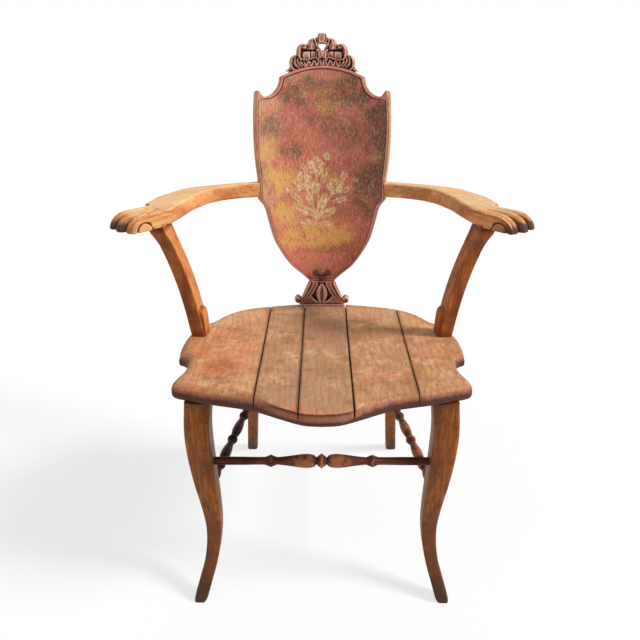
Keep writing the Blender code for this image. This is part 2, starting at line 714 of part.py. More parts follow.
def height_on_back(level, u):
    """Height along the shield's edge at which it stands at a level above the floor."""
    depth = bent(u, PANEL_THICKNESS / 2, 0).y
    return (level - back_foot.z + depth * sin(BACK_TILT)) / cos(BACK_TILT)


def arch(u):
    """Height of the shield's top edge."""
    return PANEL_HEIGHT - ARCH_RISE * (u / ARCH_HALF) ** 2


def bend_shape(shape, front):
    """Bends a flat shape whose front lies at the given depth behind the shield's front face."""
    half = max(vert.co.x for vert in shape.verts)
    count = int(half / BEND_STEP)
    for step in range(-count, count + 1):
        everything = shape.verts[:] + shape.edges[:] + shape.faces[:]
        bmesh.ops.bisect_plane(
            shape, geom=everything, plane_co=(step * BEND_STEP, 0, 0), plane_no=(1, 0, 0)
        )
    for vert in shape.verts:
        u, z, w = vert.co
        vert.co = bent(u, front + w, z)


def standing(outlines, thickness, edge):
    """Flat shape with its front face at zero and its thickness growing behind."""
    shape = flat_shape(outlines, thickness, edge)
    bmesh.ops.translate(shape, verts=shape.verts, vec=(0, 0, thickness / 2))
    return shape


arm_low = height_on_back(ARM_BOTTOM, PANEL_ARM_HALF) - ARM_SEAT_MARGIN
arm_high = height_on_back(ARM_TOP, PANEL_ARM_HALF) + ARM_SEAT_MARGIN
shoulder = PANEL_HEIGHT - ARCH_RISE
scoop_floor = shoulder - SCOOP_DEPTH
ear_tip = scoop_floor + EAR_RISE
lower = [Vector((PANEL_FOOT_HALF, 0))]
for across, up in PANEL_OGEE:
    width = PANEL_FOOT_HALF + (PANEL_ARM_HALF - PANEL_FOOT_HALF) * across
    lower.append(Vector((width, arm_low * up)))
lower.append(Vector((PANEL_ARM_HALF, arm_low)))
upper = smooth_run([
    (PANEL_ARM_HALF, arm_high),
    (PANEL_HALF_WIDTH, arm_high + (ear_tip - arm_high) * PANEL_WIDEST[0]),
    (PANEL_HALF_WIDTH, arm_high + (ear_tip - arm_high) * PANEL_WIDEST[1]),
    (PANEL_EAR_HALF, ear_tip - EAR_RISE / 2),
    (PANEL_EAR_HALF - EAR_WIDTH / 2, ear_tip),
    (PANEL_EAR_HALF - EAR_WIDTH, ear_tip - EAR_RISE / 2),
])
scoop_start = PANEL_EAR_HALF - EAR_WIDTH - EAR_FLARE
scoop = arc((0, 0), 1, -pi / 2, -pi)
scoop = [
    Vector((
        scoop_start + (scoop_start - ARCH_HALF) * point[0],
        shoulder + SCOOP_DEPTH * point[1],
    ))
    for point in scoop
]
arch_places = [ARCH_HALF * (1 - step / ARC_STEPS) for step in range(1, ARC_STEPS + 1)]
top_run = [Vector((u, arch(u))) for u in arch_places]
half_shield = [Vector((0, 0))] + smooth_run(lower) + upper + scoop + top_run
panel_shape = standing([both_sides(half_shield)], PANEL_THICKNESS, PANEL_EDGE)
bend_shape(panel_shape, 0)
panel = place("back_panel", panel_shape, BACK_FRAME, "painted_shield")

# Arms
root_height = height_on_back(ARM_TOP - ARM_THICKNESS / 2, PANEL_ARM_HALF)
arm_root = BACK_FRAME @ bent(PANEL_ARM_HALF, PANEL_THICKNESS / 2, root_height)
root_backward = (bent(PANEL_ARM_HALF, PANEL_THICKNESS, 0) - bent(PANEL_ARM_HALF, 0, 0)).normalized()
root_outward = BACK_FRAME.to_3x3() @ Vector((root_backward.y, -root_backward.x, 0))


def arm_point(share_x, share_y):
    """Plan point of the arm's bar, as shares of the way from the root to the post."""
    return Vector((
        arm_root.x + share_x * (post_top.x - arm_root.x),
        arm_root.y + share_y * (post_top.y - arm_root.y),
    ))


def curl_fingers(shape, head, pointing):
    """Lowers the top of the fingers towards their tips, in a quarter of a curve."""
    for step in range(CURL_STEPS):
        everything = shape.verts[:] + shape.edges[:] + shape.faces[:]
        start = head + pointing * (KNUCKLES + FINGER_LENGTH * step / CURL_STEPS)
        bmesh.ops.bisect_plane(shape, geom=everything, plane_co=start, plane_no=pointing)
    for vert in shape.verts:
        share = max((vert.co - head).dot(pointing) - KNUCKLES, 0) / FINGER_LENGTH
        lift = (vert.co.z - ARM_BOTTOM) / ARM_THICKNESS
        vert.co.z -= HAND_CURL * share ** 2 * lift


arms = {}
for side, sign in SIDES.items():
    inside = Vector(arm_root.xy) - root_outward.xy * OVERRUN
    outer = [inside + root_backward.xy * ARM_ROOT_DEPTH / 2]
    outer += [arm_point(*shares) for shares in ARM_BAR_OUTER]
    hand = [Vector(post_top.xy) + Vector(point) for point in HAND_OUTLINE]
    inner = [arm_point(*shares) for shares in ARM_BAR_INNER]
    inner += [inside - root_backward.xy * ARM_ROOT_DEPTH / 2]
    outline = smooth_run(outer + hand[:HAND_NOTCH + 1])[:-1] + smooth_run(hand[HAND_NOTCH:] + inner)
    arm = flat_shape([[(sign * x, y) for x, y in outline]], ARM_THICKNESS, ARM_EDGE, 2)
    bmesh.ops.translate(arm, verts=arm.verts, vec=(0, 0, ARM_TOP - ARM_THICKNESS / 2))
    head = Vector((sign * post_top.x, post_top.y, post_top.z))
    pointing = Vector((sign * cos(HAND_POINTING), sin(HAND_POINTING), 0))
    curl_fingers(arm, head, pointing)
    outward = Vector((sign * root_outward.x, root_outward.y, root_outward.z))
    root = Vector((sign * arm_root.x, arm_root.y, arm_root.z))
    slice_off(arm, root + outward * FIT, -outward)
    name = f"arm_{side}"
    arms[side] = place(name, arm, Matrix(), "bare_wood")
    bore(arms[side], f"{name}_post_bore", head, Vector((0, 0, 1)), POST_TENON_RADIUS, ARM_TENON)
    for number, valley in enumerate(HAND_GROOVES, 1):
        end = Vector((sign * (post_top.x + valley[0]), post_top.y + valley[1], ARM_TOP))
        groove = helper(
            f"{name}_groove_{number}", rod(HAND_GROOVE_RADIUS, HAND_GROOVE_LENGTH + OVERRUN),
            along(end - pointing * HAND_GROOVE_LENGTH, pointing),
        )
        combine(arms[side], groove, "DIFFERENCE")
    half_dowel = ARM_DOWEL_LENGTH / 2
    dowel_start = root - outward * half_dowel
    place(
        f"arm_dowel_{side}", rod(ARM_DOWEL_RADIUS, ARM_DOWEL_LENGTH), along(dowel_start, outward),
        "dowel_wood",
    )
    bore(arms[side], f"{name}_dowel_bore", root, outward, ARM_DOWEL_RADIUS, half_dowel)
    bore(panel, f"panel_arm_bore_{side}", root, -outward, ARM_DOWEL_RADIUS, half_dowel)

# Crest carving
base_places = [CREST_HALF * (1 - step / ARC_STEPS) for step in range(ARC_STEPS)]
crest_base = [Vector((u, arch(u) + FIT)) for u in reversed(base_places)]
crest_half = [Vector((0, arch(0) + FIT))] + crest_base
crest_half += [Vector((u, PANEL_HEIGHT + rise)) for u, rise in CREST_OUTLINE]
holes = [both_sides([Vector((u, PANEL_HEIGHT + rise)) for u, rise in CREST_EYE])]
for sign in SIDES.values():
    holes.append([(sign * u, PANEL_HEIGHT + rise) for u, rise in CREST_SLOT])
crest_shape = standing([both_sides(crest_half)] + holes, CREST_THICKNESS, 0)
bend_shape(crest_shape, CREST_SETBACK)
crest = place("crest_carving", crest_shape, BACK_FRAME, "carved_wood")
for side, sign in SIDES.items():
    u = sign * CREST_DOWEL_PLACE
    middle = BACK_FRAME @ bent(u, CREST_SETBACK + CREST_THICKNESS / 2, arch(u))
    half_dowel = CREST_DOWEL_LENGTH / 2
    place(
        f"crest_dowel_{side}", rod(CREST_DOWEL_RADIUS, CREST_DOWEL_LENGTH),
        along(middle - BACK_UP * half_dowel, BACK_UP), "dowel_wood",
    )
    bore(crest, f"crest_bore_{side}", middle, BACK_UP, CREST_DOWEL_RADIUS, half_dowel)
    bore(panel, f"panel_crest_bore_{side}", middle, -BACK_UP, CREST_DOWEL_RADIUS, half_dowel)

# Foot carving
scroll_centre = (FOOT_SCROLL_PLACE, FOOT_SCROLL_HEIGHT)
foot_half = [Vector((0, -OVERRUN)), Vector((FOOT_PLATE_HALF, -OVERRUN))]
foot_half += [Vector((FOOT_PLATE_HALF, FOOT_PLATE_HEIGHT))]
foot_half += arc(scroll_centre, FOOT_SCROLL_RADIUS, *FOOT_SCROLL_SWEEP)
foot_half += [Vector(point) for point in FOOT_WAIST]
foot_half += [Vector((PANEL_FOOT_HALF, FOOT_HEIGHT + OVERRUN)), Vector((0, FOOT_HEIGHT + OVERRUN))]
foot_half = [Vector((x, height - FOOT_HEIGHT)) for x, height in foot_half]
foot_shape = standing([both_sides(foot_half)], FOOT_THICKNESS, 0)
for vert in foot_shape.verts:
    x, z, w = vert.co
    vert.co = BACK_FRAME @ Vector((x, FOOT_FRONT + w, z))
slice_off(foot_shape, back_foot - BACK_UP * FIT, BACK_UP)
slice_off(foot_shape, on_seat(0, back_y) + SEAT_UP * FIT, -SEAT_UP)
foot = place("foot_carving", foot_shape, Matrix(), "carved_wood")
dowel_depth = PANEL_THICKNESS / 2
half_dowel = FOOT_DOWEL_LENGTH / 2
for side, sign in SIDES.items():
    middle = BACK_FRAME @ Vector((sign * FOOT_PANEL_DOWEL_PLACE, dowel_depth, 0))
    place(
        f"foot_panel_dowel_{side}", rod(FOOT_DOWEL_RADIUS, FOOT_DOWEL_LENGTH),
        along(middle - BACK_UP * half_dowel, BACK_UP), "dowel_wood",
    )
    bore(foot, f"foot_panel_bore_{side}", middle, -BACK_UP, FOOT_DOWEL_RADIUS, half_dowel)
    bore(panel, f"panel_foot_bore_{side}", middle, BACK_UP, FOOT_DOWEL_RADIUS, half_dowel)
    foot_middle = back_y + FOOT_FRONT + FOOT_THICKNESS / 2 - FOOT_HEIGHT * sin(BACK_TILT)
    on_top = on_seat(sign * FOOT_SEAT_DOWEL_PLACE, foot_middle)
    place(
        f"foot_seat_dowel_{side}", rod(FOOT_DOWEL_RADIUS, FOOT_DOWEL_LENGTH),
        along(on_top - SEAT_UP * half_dowel, SEAT_UP), "dowel_wood",
    )
    bore(foot, f"foot_seat_bore_{side}", on_top, SEAT_UP, FOOT_DOWEL_RADIUS, half_dowel)
    add_socket(
        f"foot_socket_{side}", on_top + SEAT_UP * OVERRUN, -SEAT_UP, FOOT_DOWEL_RADIUS,
        OVERRUN + half_dowel + FIT,
    )

# Berries
berry_places = (
    (-BERRY_SPREAD, BERRY_HEIGHT), (BERRY_SPREAD, BERRY_HEIGHT), (0, BERRY_HEIGHT - BERRY_DROP),
)
reach = BERRY_SPREAD + BERRY_RADIUS / 2
pad_outline = [
    Vector((reach, BERRY_HEIGHT + BERRY_RADIUS / 2)), Vector((-reach, BERRY_HEIGHT + BERRY_RADIUS / 2)),
    Vector((-BERRY_RADIUS, BERRY_HEIGHT - BERRY_DROP - BERRY_RADIUS / 2)),
    Vector((BERRY_RADIUS, BERRY_HEIGHT - BERRY_DROP - BERRY_RADIUS / 2)),
]
pad = standing([pad_outline], BERRY_PAD, 0)
for vert in pad.verts:
    u, z, w = vert.co
    vert.co = bent(u, w - BERRY_PAD - FIT, z)
berry_cluster = place("berry_cluster", pad, BACK_FRAME, "carved_wood")
for number, (u, z) in enumerate(berry_places, 1):
    berry = bmesh.new()
    bmesh.ops.create_uvsphere(berry, u_segments=BERRY_SEGMENTS, v_segments=BERRY_RINGS, radius=BERRY_RADIUS)
    centre = BACK_FRAME @ bent(u, -FIT - BERRY_RADIUS, z)
    ball = helper(f"berry_{number}", berry, Matrix.Translation(centre))
    combine(berry_cluster, ball, "UNION")

# Sockets in the seat boards
for name, start, direction, radius, length, (low, high) in sockets:
    cutter = helper(name, rod(radius, length), along(start, direction))
    for board, left, right in boards:
        if low < right and high > left:
            combine(board, cutter, "DIFFERENCE")
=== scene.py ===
import math

import bmesh
import bpy
import numpy as np
from mathutils import Matrix, Vector, noise


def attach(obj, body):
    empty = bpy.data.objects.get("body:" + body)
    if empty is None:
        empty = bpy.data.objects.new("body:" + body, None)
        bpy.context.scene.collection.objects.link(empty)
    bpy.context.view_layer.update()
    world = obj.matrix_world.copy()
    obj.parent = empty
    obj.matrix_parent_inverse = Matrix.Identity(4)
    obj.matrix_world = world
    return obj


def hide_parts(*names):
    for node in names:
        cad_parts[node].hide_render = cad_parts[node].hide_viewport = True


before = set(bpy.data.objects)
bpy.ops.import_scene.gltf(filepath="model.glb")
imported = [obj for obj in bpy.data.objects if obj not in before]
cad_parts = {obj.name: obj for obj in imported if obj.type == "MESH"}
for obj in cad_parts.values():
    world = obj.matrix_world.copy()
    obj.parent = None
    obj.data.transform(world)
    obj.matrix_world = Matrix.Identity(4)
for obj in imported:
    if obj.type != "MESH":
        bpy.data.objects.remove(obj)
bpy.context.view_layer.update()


# Seat: five hardwood boards side by side, sawn to one lobed outline, rounded over at the rim and
# dished a little by hand. The wood is bare, worn and stained; the joints have opened, and two hidden
# dowels hold each of them.

SEAT_PLACE = Matrix.Translation((0, -0.27315, 0.449)) @ Matrix.Rotation(math.radians(-3.76), 4, "X")
SEAT_HALF_WIDTH = 0.2525
SEAT_DEPTH = 0.459
SEAT_THICKNESS = 0.025
SEAT_RUNS = (
    ((0, 1), (0.225, 0.988), (0.44, 0.962), (0.567, 0.942), (0.685, 0.908), (0.783, 0.855), (0.866, 0.78)),
    ((0.866, 0.78), (0.935, 0.745), (0.988, 0.680), (1.016, 0.600), (1.020, 0.520), (1.006, 0.440)),
    ((1.006, 0.440), (0.970, 0.428), (0.938, 0.405), (0.924, 0.365)),
    ((0.924, 0.365), (0.932, 0.318), (0.960, 0.270), (0.975, 0.230), (0.962, 0.196), (0.922, 0.18),
     (0.86, 0.168), (0.783, 0.153), (0.675, 0.136), (0.44, 0.100), (0.254, 0.045), (0.117, 0.008), (0, 0)),
)
SEAT_JOINTS = [share * SEAT_HALF_WIDTH for share in (-0.422, -0.141, 0.196, 0.610)]
HALF_GAPS = (0.00055, 0.00033, 0.00077, 0.00044)
SEAT_GREY = (0.10, 0.75, 0.80, 0.35, 0.15)
SEAT_GRID = 0.009
CUTS_ACROSS = 27
CUTS_ALONG = 52
TOP_ROUNDING = 0.0135
UNDER_ROUNDING = 0.008
FRONT_LIP = (-0.108, 0.085)
LIP_FADE = 0.05
LIP_DEPTH = 0.014
UPPER_PART = 0.012
DISH_MIDDLE = 0.24
DISH_HALF_WIDTH = 0.20
DISH_HALF_LENGTH = 0.19
DISH_DEPTH = 0.0045
UNEVENNESS = 0.0003
JOINT_REACH = 0.0025
JOINT_EDGE = 0.0006
JOINT_SLACK = 0.0002
JOINT_STEP = (-0.010, -0.012)
JOINT_CLOSED = -0.0115
GRAIN_ALONG_Y = (0, 0, 0)
TINY = 1e-6


def smooth_run(points, steps):
    """Points of a smooth line through the given ones."""
    points = [Vector(point) for point in points]
    line = []
    ends = [2 * points[0] - points[1], *points, 2 * points[-1] - points[-2]]
    for before, first, second, after in zip(ends, ends[1:], ends[2:], ends[3:]):
        for step in range(steps):
            share = step / steps
            line.append(0.5 * (
                2 * first + (second - before) * share
                + (2 * before - 5 * first + 4 * second - after) * share**2
                + (3 * first - before - 3 * second + after) * share**3
            ))
    return [*line, points[-1]]


def close(shape):
    """Closes the openings of a shape."""
    bmesh.ops.holes_fill(shape, edges=[edge for edge in shape.edges if edge.is_boundary])


def swept(shape, sections):
    """Extrudes the first section through the others and closes both ends; returns the last face."""
    face = shape.faces.new([shape.verts.new(point) for point in sections[0]])
    for section in sections[1:]:
        face = bmesh.ops.extrude_discrete_faces(shape, faces=[face])["faces"][0]
        for vert, point in zip(face.verts, section):
            vert.co = point
    close(shape)
    return face


def cut(shape, point, direction, **settings):
    """Cuts all faces of a shape along a plane."""
    parts = [*shape.verts, *shape.edges, *shape.faces]
    bmesh.ops.bisect_plane(shape, geom=parts, dist=TINY, plane_co=point, plane_no=direction, **settings)


def cut_away(shape, point, direction):
    """Removes what lies on the far side of a plane and closes the cut."""
    cut(shape, point, direction, clear_outer=True)
    close(shape)


def round_edges(shape, axis, at, radius, steps):
    """Rounds over the edges that lie at one place on an axis."""
    edges = [edge for edge in shape.edges if all(abs(vert.co[axis] - at) < TINY for vert in edge.verts)]
    bmesh.ops.bevel(
        shape, geom=edges, offset=radius, offset_type="OFFSET", affect="EDGES", segments=steps,
        profile=0.5, material=-1,
    )


def ease(value, low, high):
    """Smooth share of the way from low to high."""
    share = min(max((value - low) / (high - low), 0), 1)
    return share * share * (3 - 2 * share)


def new_notes(shape, *names):
    """Named values that the points of a shape carry for its material."""
    return [shape.verts.layers.float.new(name) for name in names]


def in_scene(name, data):
    """A new object in the scene."""
    made = bpy.data.objects.new(name, data)
    bpy.context.scene.collection.objects.link(made)
    return made


def finish_piece(node, shape, material, sharp):
    """Turns a shape into the finished piece that takes the place of a CAD part."""
    shape.normal_update()
    bmesh.ops.recalc_face_normals(shape, faces=shape.faces)
    if shape.calc_volume(signed=True) < 0:
        bmesh.ops.reverse_faces(shape, faces=shape.faces)
    mesh = bpy.data.meshes.new(f"{node}_finished")
    shape.to_mesh(mesh)
    shape.free()
    mesh.shade_smooth()
    mesh.set_sharp_from_angle(angle=math.radians(sharp))
    mesh.materials.append(material)
    piece = in_scene(f"{node}_finished", mesh)
    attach(piece, "root")
    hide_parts(node)


def new_material(name):
    """An empty material: the material, its node tree and its surface node."""
    material = bpy.data.materials.new(name)
    material.use_nodes = True
    return material, material.node_tree, material.node_tree.nodes["Principled BSDF"]


def put(tree, kind, inputs, **settings):
    """Adds a node with its settings, and sets or links its inputs."""
    made = tree.nodes.new(kind)
    for key, value in settings.items():
        setattr(made, key, value)
    for key, value in inputs.items():
        if isinstance(value, bpy.types.NodeSocket):
            tree.links.new(value, made.inputs[key])
        else:
            made.inputs[key].default_value = value
    return made


def calc(tree, operation, first, second=0.0):
    """Result of a sum with two values."""
    return put(tree, "ShaderNodeMath", {0: first, 1: second}, operation=operation).outputs[0]


def levels(tree, value, low, high, start=0.0, end=1.0):
    """Eases a value from one range into another."""
    inputs = {"Value": value, "From Min": low, "From Max": high, "To Min": start, "To Max": end}
    return put(tree, "ShaderNodeMapRange", inputs, interpolation_type="SMOOTHSTEP").outputs[0]


def colour(shown):
    """Colour from display levels of 0 to 255; a colour that a node gives is passed on."""
    if isinstance(shown, bpy.types.NodeSocket):
        return shown
    shares = [level / 255 for level in shown]
    return (*[v / 12.92 if v <= 0.04045 else ((v + 0.055) / 1.055) ** 2.4 for v in shares], 1)


def mixed(tree, share, first, second, mode="MIX"):
    """Mixes two colours."""
    inputs = {0: share, 6: colour(first), 7: colour(second)}
    return put(tree, "ShaderNodeMix", inputs, data_type="RGBA", blend_type=mode).outputs[2]


def tinted(tree, base, value, low, high, strength, tint):
    """Lays a tint over a colour, growing to its full strength as a value goes from low to high."""
    return mixed(tree, levels(tree, value, low, high, 0, strength), base, tint)


def cloud(tree, place, scale, detail=4.0, rough=0.55, bend=0.0):
    """Cloudy pattern."""
    inputs = {"Vector": place, "Scale": scale, "Detail": detail, "Roughness": rough, "Distortion": bend}
    return put(tree, "ShaderNodeTexNoise", inputs).outputs["Fac"]


def noted(tree, name):
    """Value that the piece's points carry under a name."""
    return put(tree, "ShaderNodeAttribute", {}, attribute_name=name).outputs["Fac"]


def worn(tree, name, pattern, amount):
    """Value that the piece's points carry under a name, broken up by a pattern."""
    rub = calc(tree, "SUBTRACT", pattern, 0.5)
    return calc(tree, "ADD", noted(tree, name), calc(tree, "MULTIPLY", rub, amount))


def along_grain(tree, place, turn, stretch):
    """Place drawn out along the grain, which runs along Y before the turn."""
    inputs = {"Vector": place, "Rotation": turn, "Scale": (1, stretch, 1)}
    return put(tree, "ShaderNodeMapping", inputs, vector_type="TEXTURE").outputs[0]


def new_wood(name, turn, tones, stain, stretch=18, pores=0.3, alike=False):
    """Grained wood from dark, middle and pale tones, with stains, both sides alike if asked for.

    Returns the material, its node tree, its surface node, the place on the object, colour and grain.
    """
    material, tree, face = new_material(name)
    place = put(tree, "ShaderNodeTexCoord", {}).outputs["Object"]
    if alike:
        parts = put(tree, "ShaderNodeSeparateXYZ", {0: place}).outputs
        inputs = {0: calc(tree, "ABSOLUTE", parts[0]), 1: parts[1], 2: parts[2]}
        place = put(tree, "ShaderNodeCombineXYZ", inputs).outputs[0]
    streak = cloud(tree, along_grain(tree, place, turn, stretch), 300, 6, 0.65)
    figure = cloud(tree, along_grain(tree, place, turn, stretch / 3), 32, 3, 0.5, 0.8)
    fine = cloud(tree, along_grain(tree, place, turn, stretch), 1100, 2, 0.5)
    grain = calc(tree, "ADD", calc(tree, "MULTIPLY", streak, 0.6), calc(tree, "MULTIPLY", figure, 0.4))
    wood = mixed(tree, levels(tree, grain, 0.36, 0.50), tones[0], tones[1])
    wood = tinted(tree, wood, grain, 0.48, 0.64, 1, tones[2])
    blot = calc(tree, "ADD", cloud(tree, place, 15, 6, 0.65), calc(tree, "MULTIPLY", grain, 0.3))
    wood = tinted(tree, wood, blot, 0.64, 0.84, 0.7, stain)
    pore = levels(tree, fine, 0.54, 0.70, 0, pores)
    wood = mixed(tree, pore, wood, tones[0], "MULTIPLY")
    grain = calc(tree, "SUBTRACT", calc(tree, "MULTIPLY", grain, 0.7), pore)
    return material, tree, face, place, wood, grain


def surface(tree, face, wood, grain, rough, depth, sheen=0.2):
    """Joins colour, sheen and the feel of the grain to the surface."""
    tree.links.new(wood, face.inputs["Base Color"])
    tree.links.new(levels(tree, grain, 0.1, 0.5, rough + 0.12, rough - 0.06), face.inputs["Roughness"])
    bump = put(tree, "ShaderNodeBump", {"Height": grain, "Strength": 0.6, "Distance": depth})
    tree.links.new(bump.outputs[0], face.inputs["Normal"])
    face.inputs["Specular IOR Level"].default_value = sheen


seat_material, tree, face, place, wood, grain = new_wood(
    "seat_worn_wood", GRAIN_ALONG_Y, ((188, 130, 86), (222, 166, 116), (242, 194, 142)), (168, 106, 70),
    5, 0.35,
)
# Paler towards the back of the seat: painted light.
depth = put(tree, "ShaderNodeSeparateXYZ", {0: place}).outputs[1]
wood = tinted(tree, wood, depth, -0.02, 0.16, 0.5, (252, 204, 150))
grey = calc(tree, "MULTIPLY", noted(tree, "grey"), levels(tree, cloud(tree, place, 9, 5, 0.6), 0.30, 0.54))
wood = mixed(tree, calc(tree, "MULTIPLY", grey, 0.85), wood, (176, 146, 118))
grey_loss = calc(tree, "MULTIPLY", noted(tree, "grey"), 0.08)
warm = calc(tree, "SUBTRACT", cloud(tree, place, 9, 7, 0.68), grey_loss)
wood = tinted(tree, wood, warm, 0.40, 0.60, 0.75, (228, 150, 102))
wood = tinted(tree, wood, warm, 0.52, 0.68, 0.8, (214, 106, 66))
smudge = cloud(tree, place, 17, 8, 0.75)
wood = tinted(tree, wood, smudge, 0.50, 0.64, 0.6, (150, 104, 76))
inputs = {
    "Vector": along_grain(tree, place, GRAIN_ALONG_Y, 3), "Scale": 26, "Distortion": 15, "Detail": 3,
    "Detail Scale": 0.7,
}
figure = put(tree, "ShaderNodeTexWave", inputs, bands_direction="X").outputs["Fac"]
wood = tinted(tree, wood, figure, 0.35, 0.0, 0.28, (160, 108, 76))
light = cloud(tree, place, 12, 8, 0.72)
wood = tinted(tree, wood, light, 0.52, 0.68, 0.7, (248, 206, 156))
speck = cloud(tree, place, 480, 4, 0.75)
wood = tinted(tree, wood, speck, 0.50, 0.68, 0.7, (114, 74, 50))
crack = cloud(tree, along_grain(tree, place, GRAIN_ALONG_Y, 24), 240, 3, 0.6)
wood = tinted(tree, wood, crack, 0.66, 0.72, 0.55, (96, 62, 44))
wood = tinted(tree, wood, noted(tree, "joint"), 0.35, 1.0, 0.8, (66, 40, 30))
# Darker down the rim and on the front lip: dirt and painted shade.
dirt_and_shade = worn(tree, "rim", cloud(tree, place, 120, 7, 0.75), 0.7)
wood = tinted(tree, wood, dirt_and_shade, 0.10, 0.55, 0.75, (148, 88, 66))
wood = tinted(tree, wood, dirt_and_shade, 0.50, 0.95, 0.9, (70, 40, 36))
surface(tree, face, wood, grain, 0.62, 0.0006)

half = [point for run in SEAT_RUNS for point in smooth_run(run, 6)[:-1]] + [Vector(SEAT_RUNS[-1][-1])]
half = [Vector((x * SEAT_HALF_WIDTH, y * SEAT_DEPTH)) for x, y in half]
outline = half + [Vector((-x, y)) for x, y in reversed(half[1:-1])]
edge_line = np.array(outline)
blank = bmesh.new()
swept(blank, [[Vector((x, y, level)) for x, y in outline] for level in (-SEAT_THICKNESS, 0)])
round_edges(blank, 2, 0, TOP_ROUNDING, 7)
round_edges(blank, 2, -SEAT_THICKNESS, UNDER_ROUNDING, 4)


def nearest_edge(point):
    """Nearest point of the seat's outline, and how far away it is."""
    reach = edge_line - np.array(point.xy)
    away = np.hypot(reach[:, 0], reach[:, 1])
    return Vector(edge_line[away.argmin()]), away.min()


def lip_share(point):
    """How far a point belongs to the upright lip at the middle of the seat's front."""
    low, high = FRONT_LIP
    return (point.y < 0.05) * ease(point.x, low, low + LIP_FADE) * ease(point.x, high, high - LIP_FADE)


[rim] = new_notes(blank, "rim")
for vert in blank.verts:
    lip = lip_share(vert.co)
    if vert.co.z > -LIP_DEPTH and lip:
        nearest, _ = nearest_edge(vert.co)
        vert.co.xy = nearest + (vert.co.xy - nearest) * (1 - 0.75 * lip)
for step in range(-CUTS_ACROSS, CUTS_ACROSS + 1):
    cut(blank, (step * SEAT_GRID, 0, 0), (1, 0, 0))
for step in range(CUTS_ALONG):
    cut(blank, (0, step * SEAT_GRID, 0), (0, 1, 0))
for vert in blank.verts:
    _, inside = nearest_edge(vert.co)
    level = vert.co.z
    # How far down the rim a point lies, for the rim's dirt and painted shade.
    round_rim = min(0.32 - level / 0.020, 1.1) * ease(level, -0.001, -0.004)
    round_rim = max(0.32 * ease(inside, 0.034, 0.008), round_rim)
    upright_rim = 0.85 * ease(level, -0.0004, -0.0013) * ease(level, -0.0062, -0.0030)
    upright_rim += 0.55 * ease(level, -0.0030, -0.0060) + 0.55 * ease(level, -0.0110, -0.0200)
    vert[rim] = round_rim + (upright_rim - round_rim) * lip_share(vert.co)
    if level > -UPPER_PART:
        spread = (vert.co.x / DISH_HALF_WIDTH) ** 2 + ((vert.co.y - DISH_MIDDLE) / DISH_HALF_LENGTH) ** 2
        vert.co.z -= DISH_DEPTH * max(0, 1 - spread) ** 2
        vert.co.z += UNEVENNESS * noise.noise((vert.co.x * 22, vert.co.y * 9, 3)) - UNEVENNESS
for number, greyness in enumerate(SEAT_GREY):
    board = blank.copy()
    grey, joint = new_notes(board, "grey", "joint")
    sides = []
    for index, side in ((number - 1, -1), (number, 1)):
        if 0 <= index < len(SEAT_JOINTS):
            sides.append((SEAT_JOINTS[index] - side * HALF_GAPS[index], side, HALF_GAPS[index]))
    for at, side, _ in sides:
        cut_away(board, (at, 0, 0), (side, 0, 0))
        round_edges(board, 0, at, JOINT_EDGE, 2)
    for level in JOINT_STEP:
        cut(board, (0, 0, level), (0, 0, 1))
    for at, side, gap in sides:
        for vert in board.verts:
            near = max(0, 1 - abs(vert.co.x - at) / JOINT_REACH)
            vert[joint] = max(vert[joint], near)
            if vert.co.z < JOINT_CLOSED and near > 0.7:
                vert.co.x += side * (gap - JOINT_SLACK)
            else:
                vert.co.x -= side * UNEVENNESS * near * (1 + noise.noise((at * 50, vert.co.y * 45, 0)))
    for vert in board.verts:
        vert[grey] = greyness
    board.transform(SEAT_PLACE)
    finish_piece(f"seat_board_{number + 1}", board, seat_material, 35)
blank.free()


# Dowels: plain birch pins glued into the joints of seat, arms, crest and foot. They sit inside the
# wood, so the CAD parts stay and only get their wood.

GRAIN_ALONG_X = (0, 0, math.radians(90))

dowel_material, tree, face, _, wood, grain = new_wood(
    "dowel_plain_wood", GRAIN_ALONG_X, ((170, 130, 88), (205, 168, 122), (222, 190, 148)), (176, 134, 92)
)
surface(tree, face, wood, grain, 0.6, 0.0003)
DOWELS = [f"seat_dowel_{number}" for number in range(1, 9)]
for kind in ("arm", "crest", "foot_panel", "foot_seat"):
    DOWELS += [f"{kind}_dowel_left", f"{kind}_dowel_right"]
for node in DOWELS:
    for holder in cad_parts[node].material_slots:
        holder.material = dowel_material


# Front legs: sawn from thick stock to an S-curve, shaved to a broad face with soft corners, and set
# into the seat's underside. Worn golden-brown wood that darkens towards the flared feet.

GRAIN_ALONG_Z = (math.radians(90), 0, 0)
GLUE_GAP = 0.0003
LEG_TOP = Vector((0.201, -0.181, 0.4179))
LEG_LINE = (
    (1, 0, 0, 0.0430), (0.87, 0.0046, 0.004, 0.0425), (0.74, 0.0038, 0.004, 0.0414),
    (0.60, -0.0002, 0.003, 0.0378), (0.46, -0.0045, -0.001, 0.0322), (0.34, -0.0056, -0.005, 0.0280),
    (0.24, -0.0025, 0.001, 0.0252), (0.16, 0.0036, 0.013, 0.0236), (0.08, 0.0136, 0.029, 0.0234),
    (0, 0.0238, 0.043, 0.0240),
)
LEG_CORNER = 0.16
LEG_SPARE = Vector((0, 0, 0.02))
FOOT_ROUNDING = 0.0025
X_AXIS = Vector((1, 0, 0))
Y_AXIS = Vector((0, 1, 0))


def ring(centre, across, ahead, half_across, half_ahead, corner, steps=4):
    """Points of a rectangle with round corners."""
    points = []
    for quarter in range(4):
        side_a = (1, -1, -1, 1)[quarter] * (half_across - corner)
        side_b = (1, 1, -1, -1)[quarter] * (half_ahead - corner)
        for step in range(steps + 1):
            angle = math.pi / 2 * quarter + math.pi / 2 * step / steps
            aside = side_a + corner * math.cos(angle)
            points.append(centre + across * aside + ahead * (side_b + corner * math.sin(angle)))
    return points


def mirror_image(shape):
    """Copy of a shape for the other side of the chair."""
    other = shape.copy()
    other.transform(Matrix.Diagonal((-1, 1, 1, 1)))
    return other


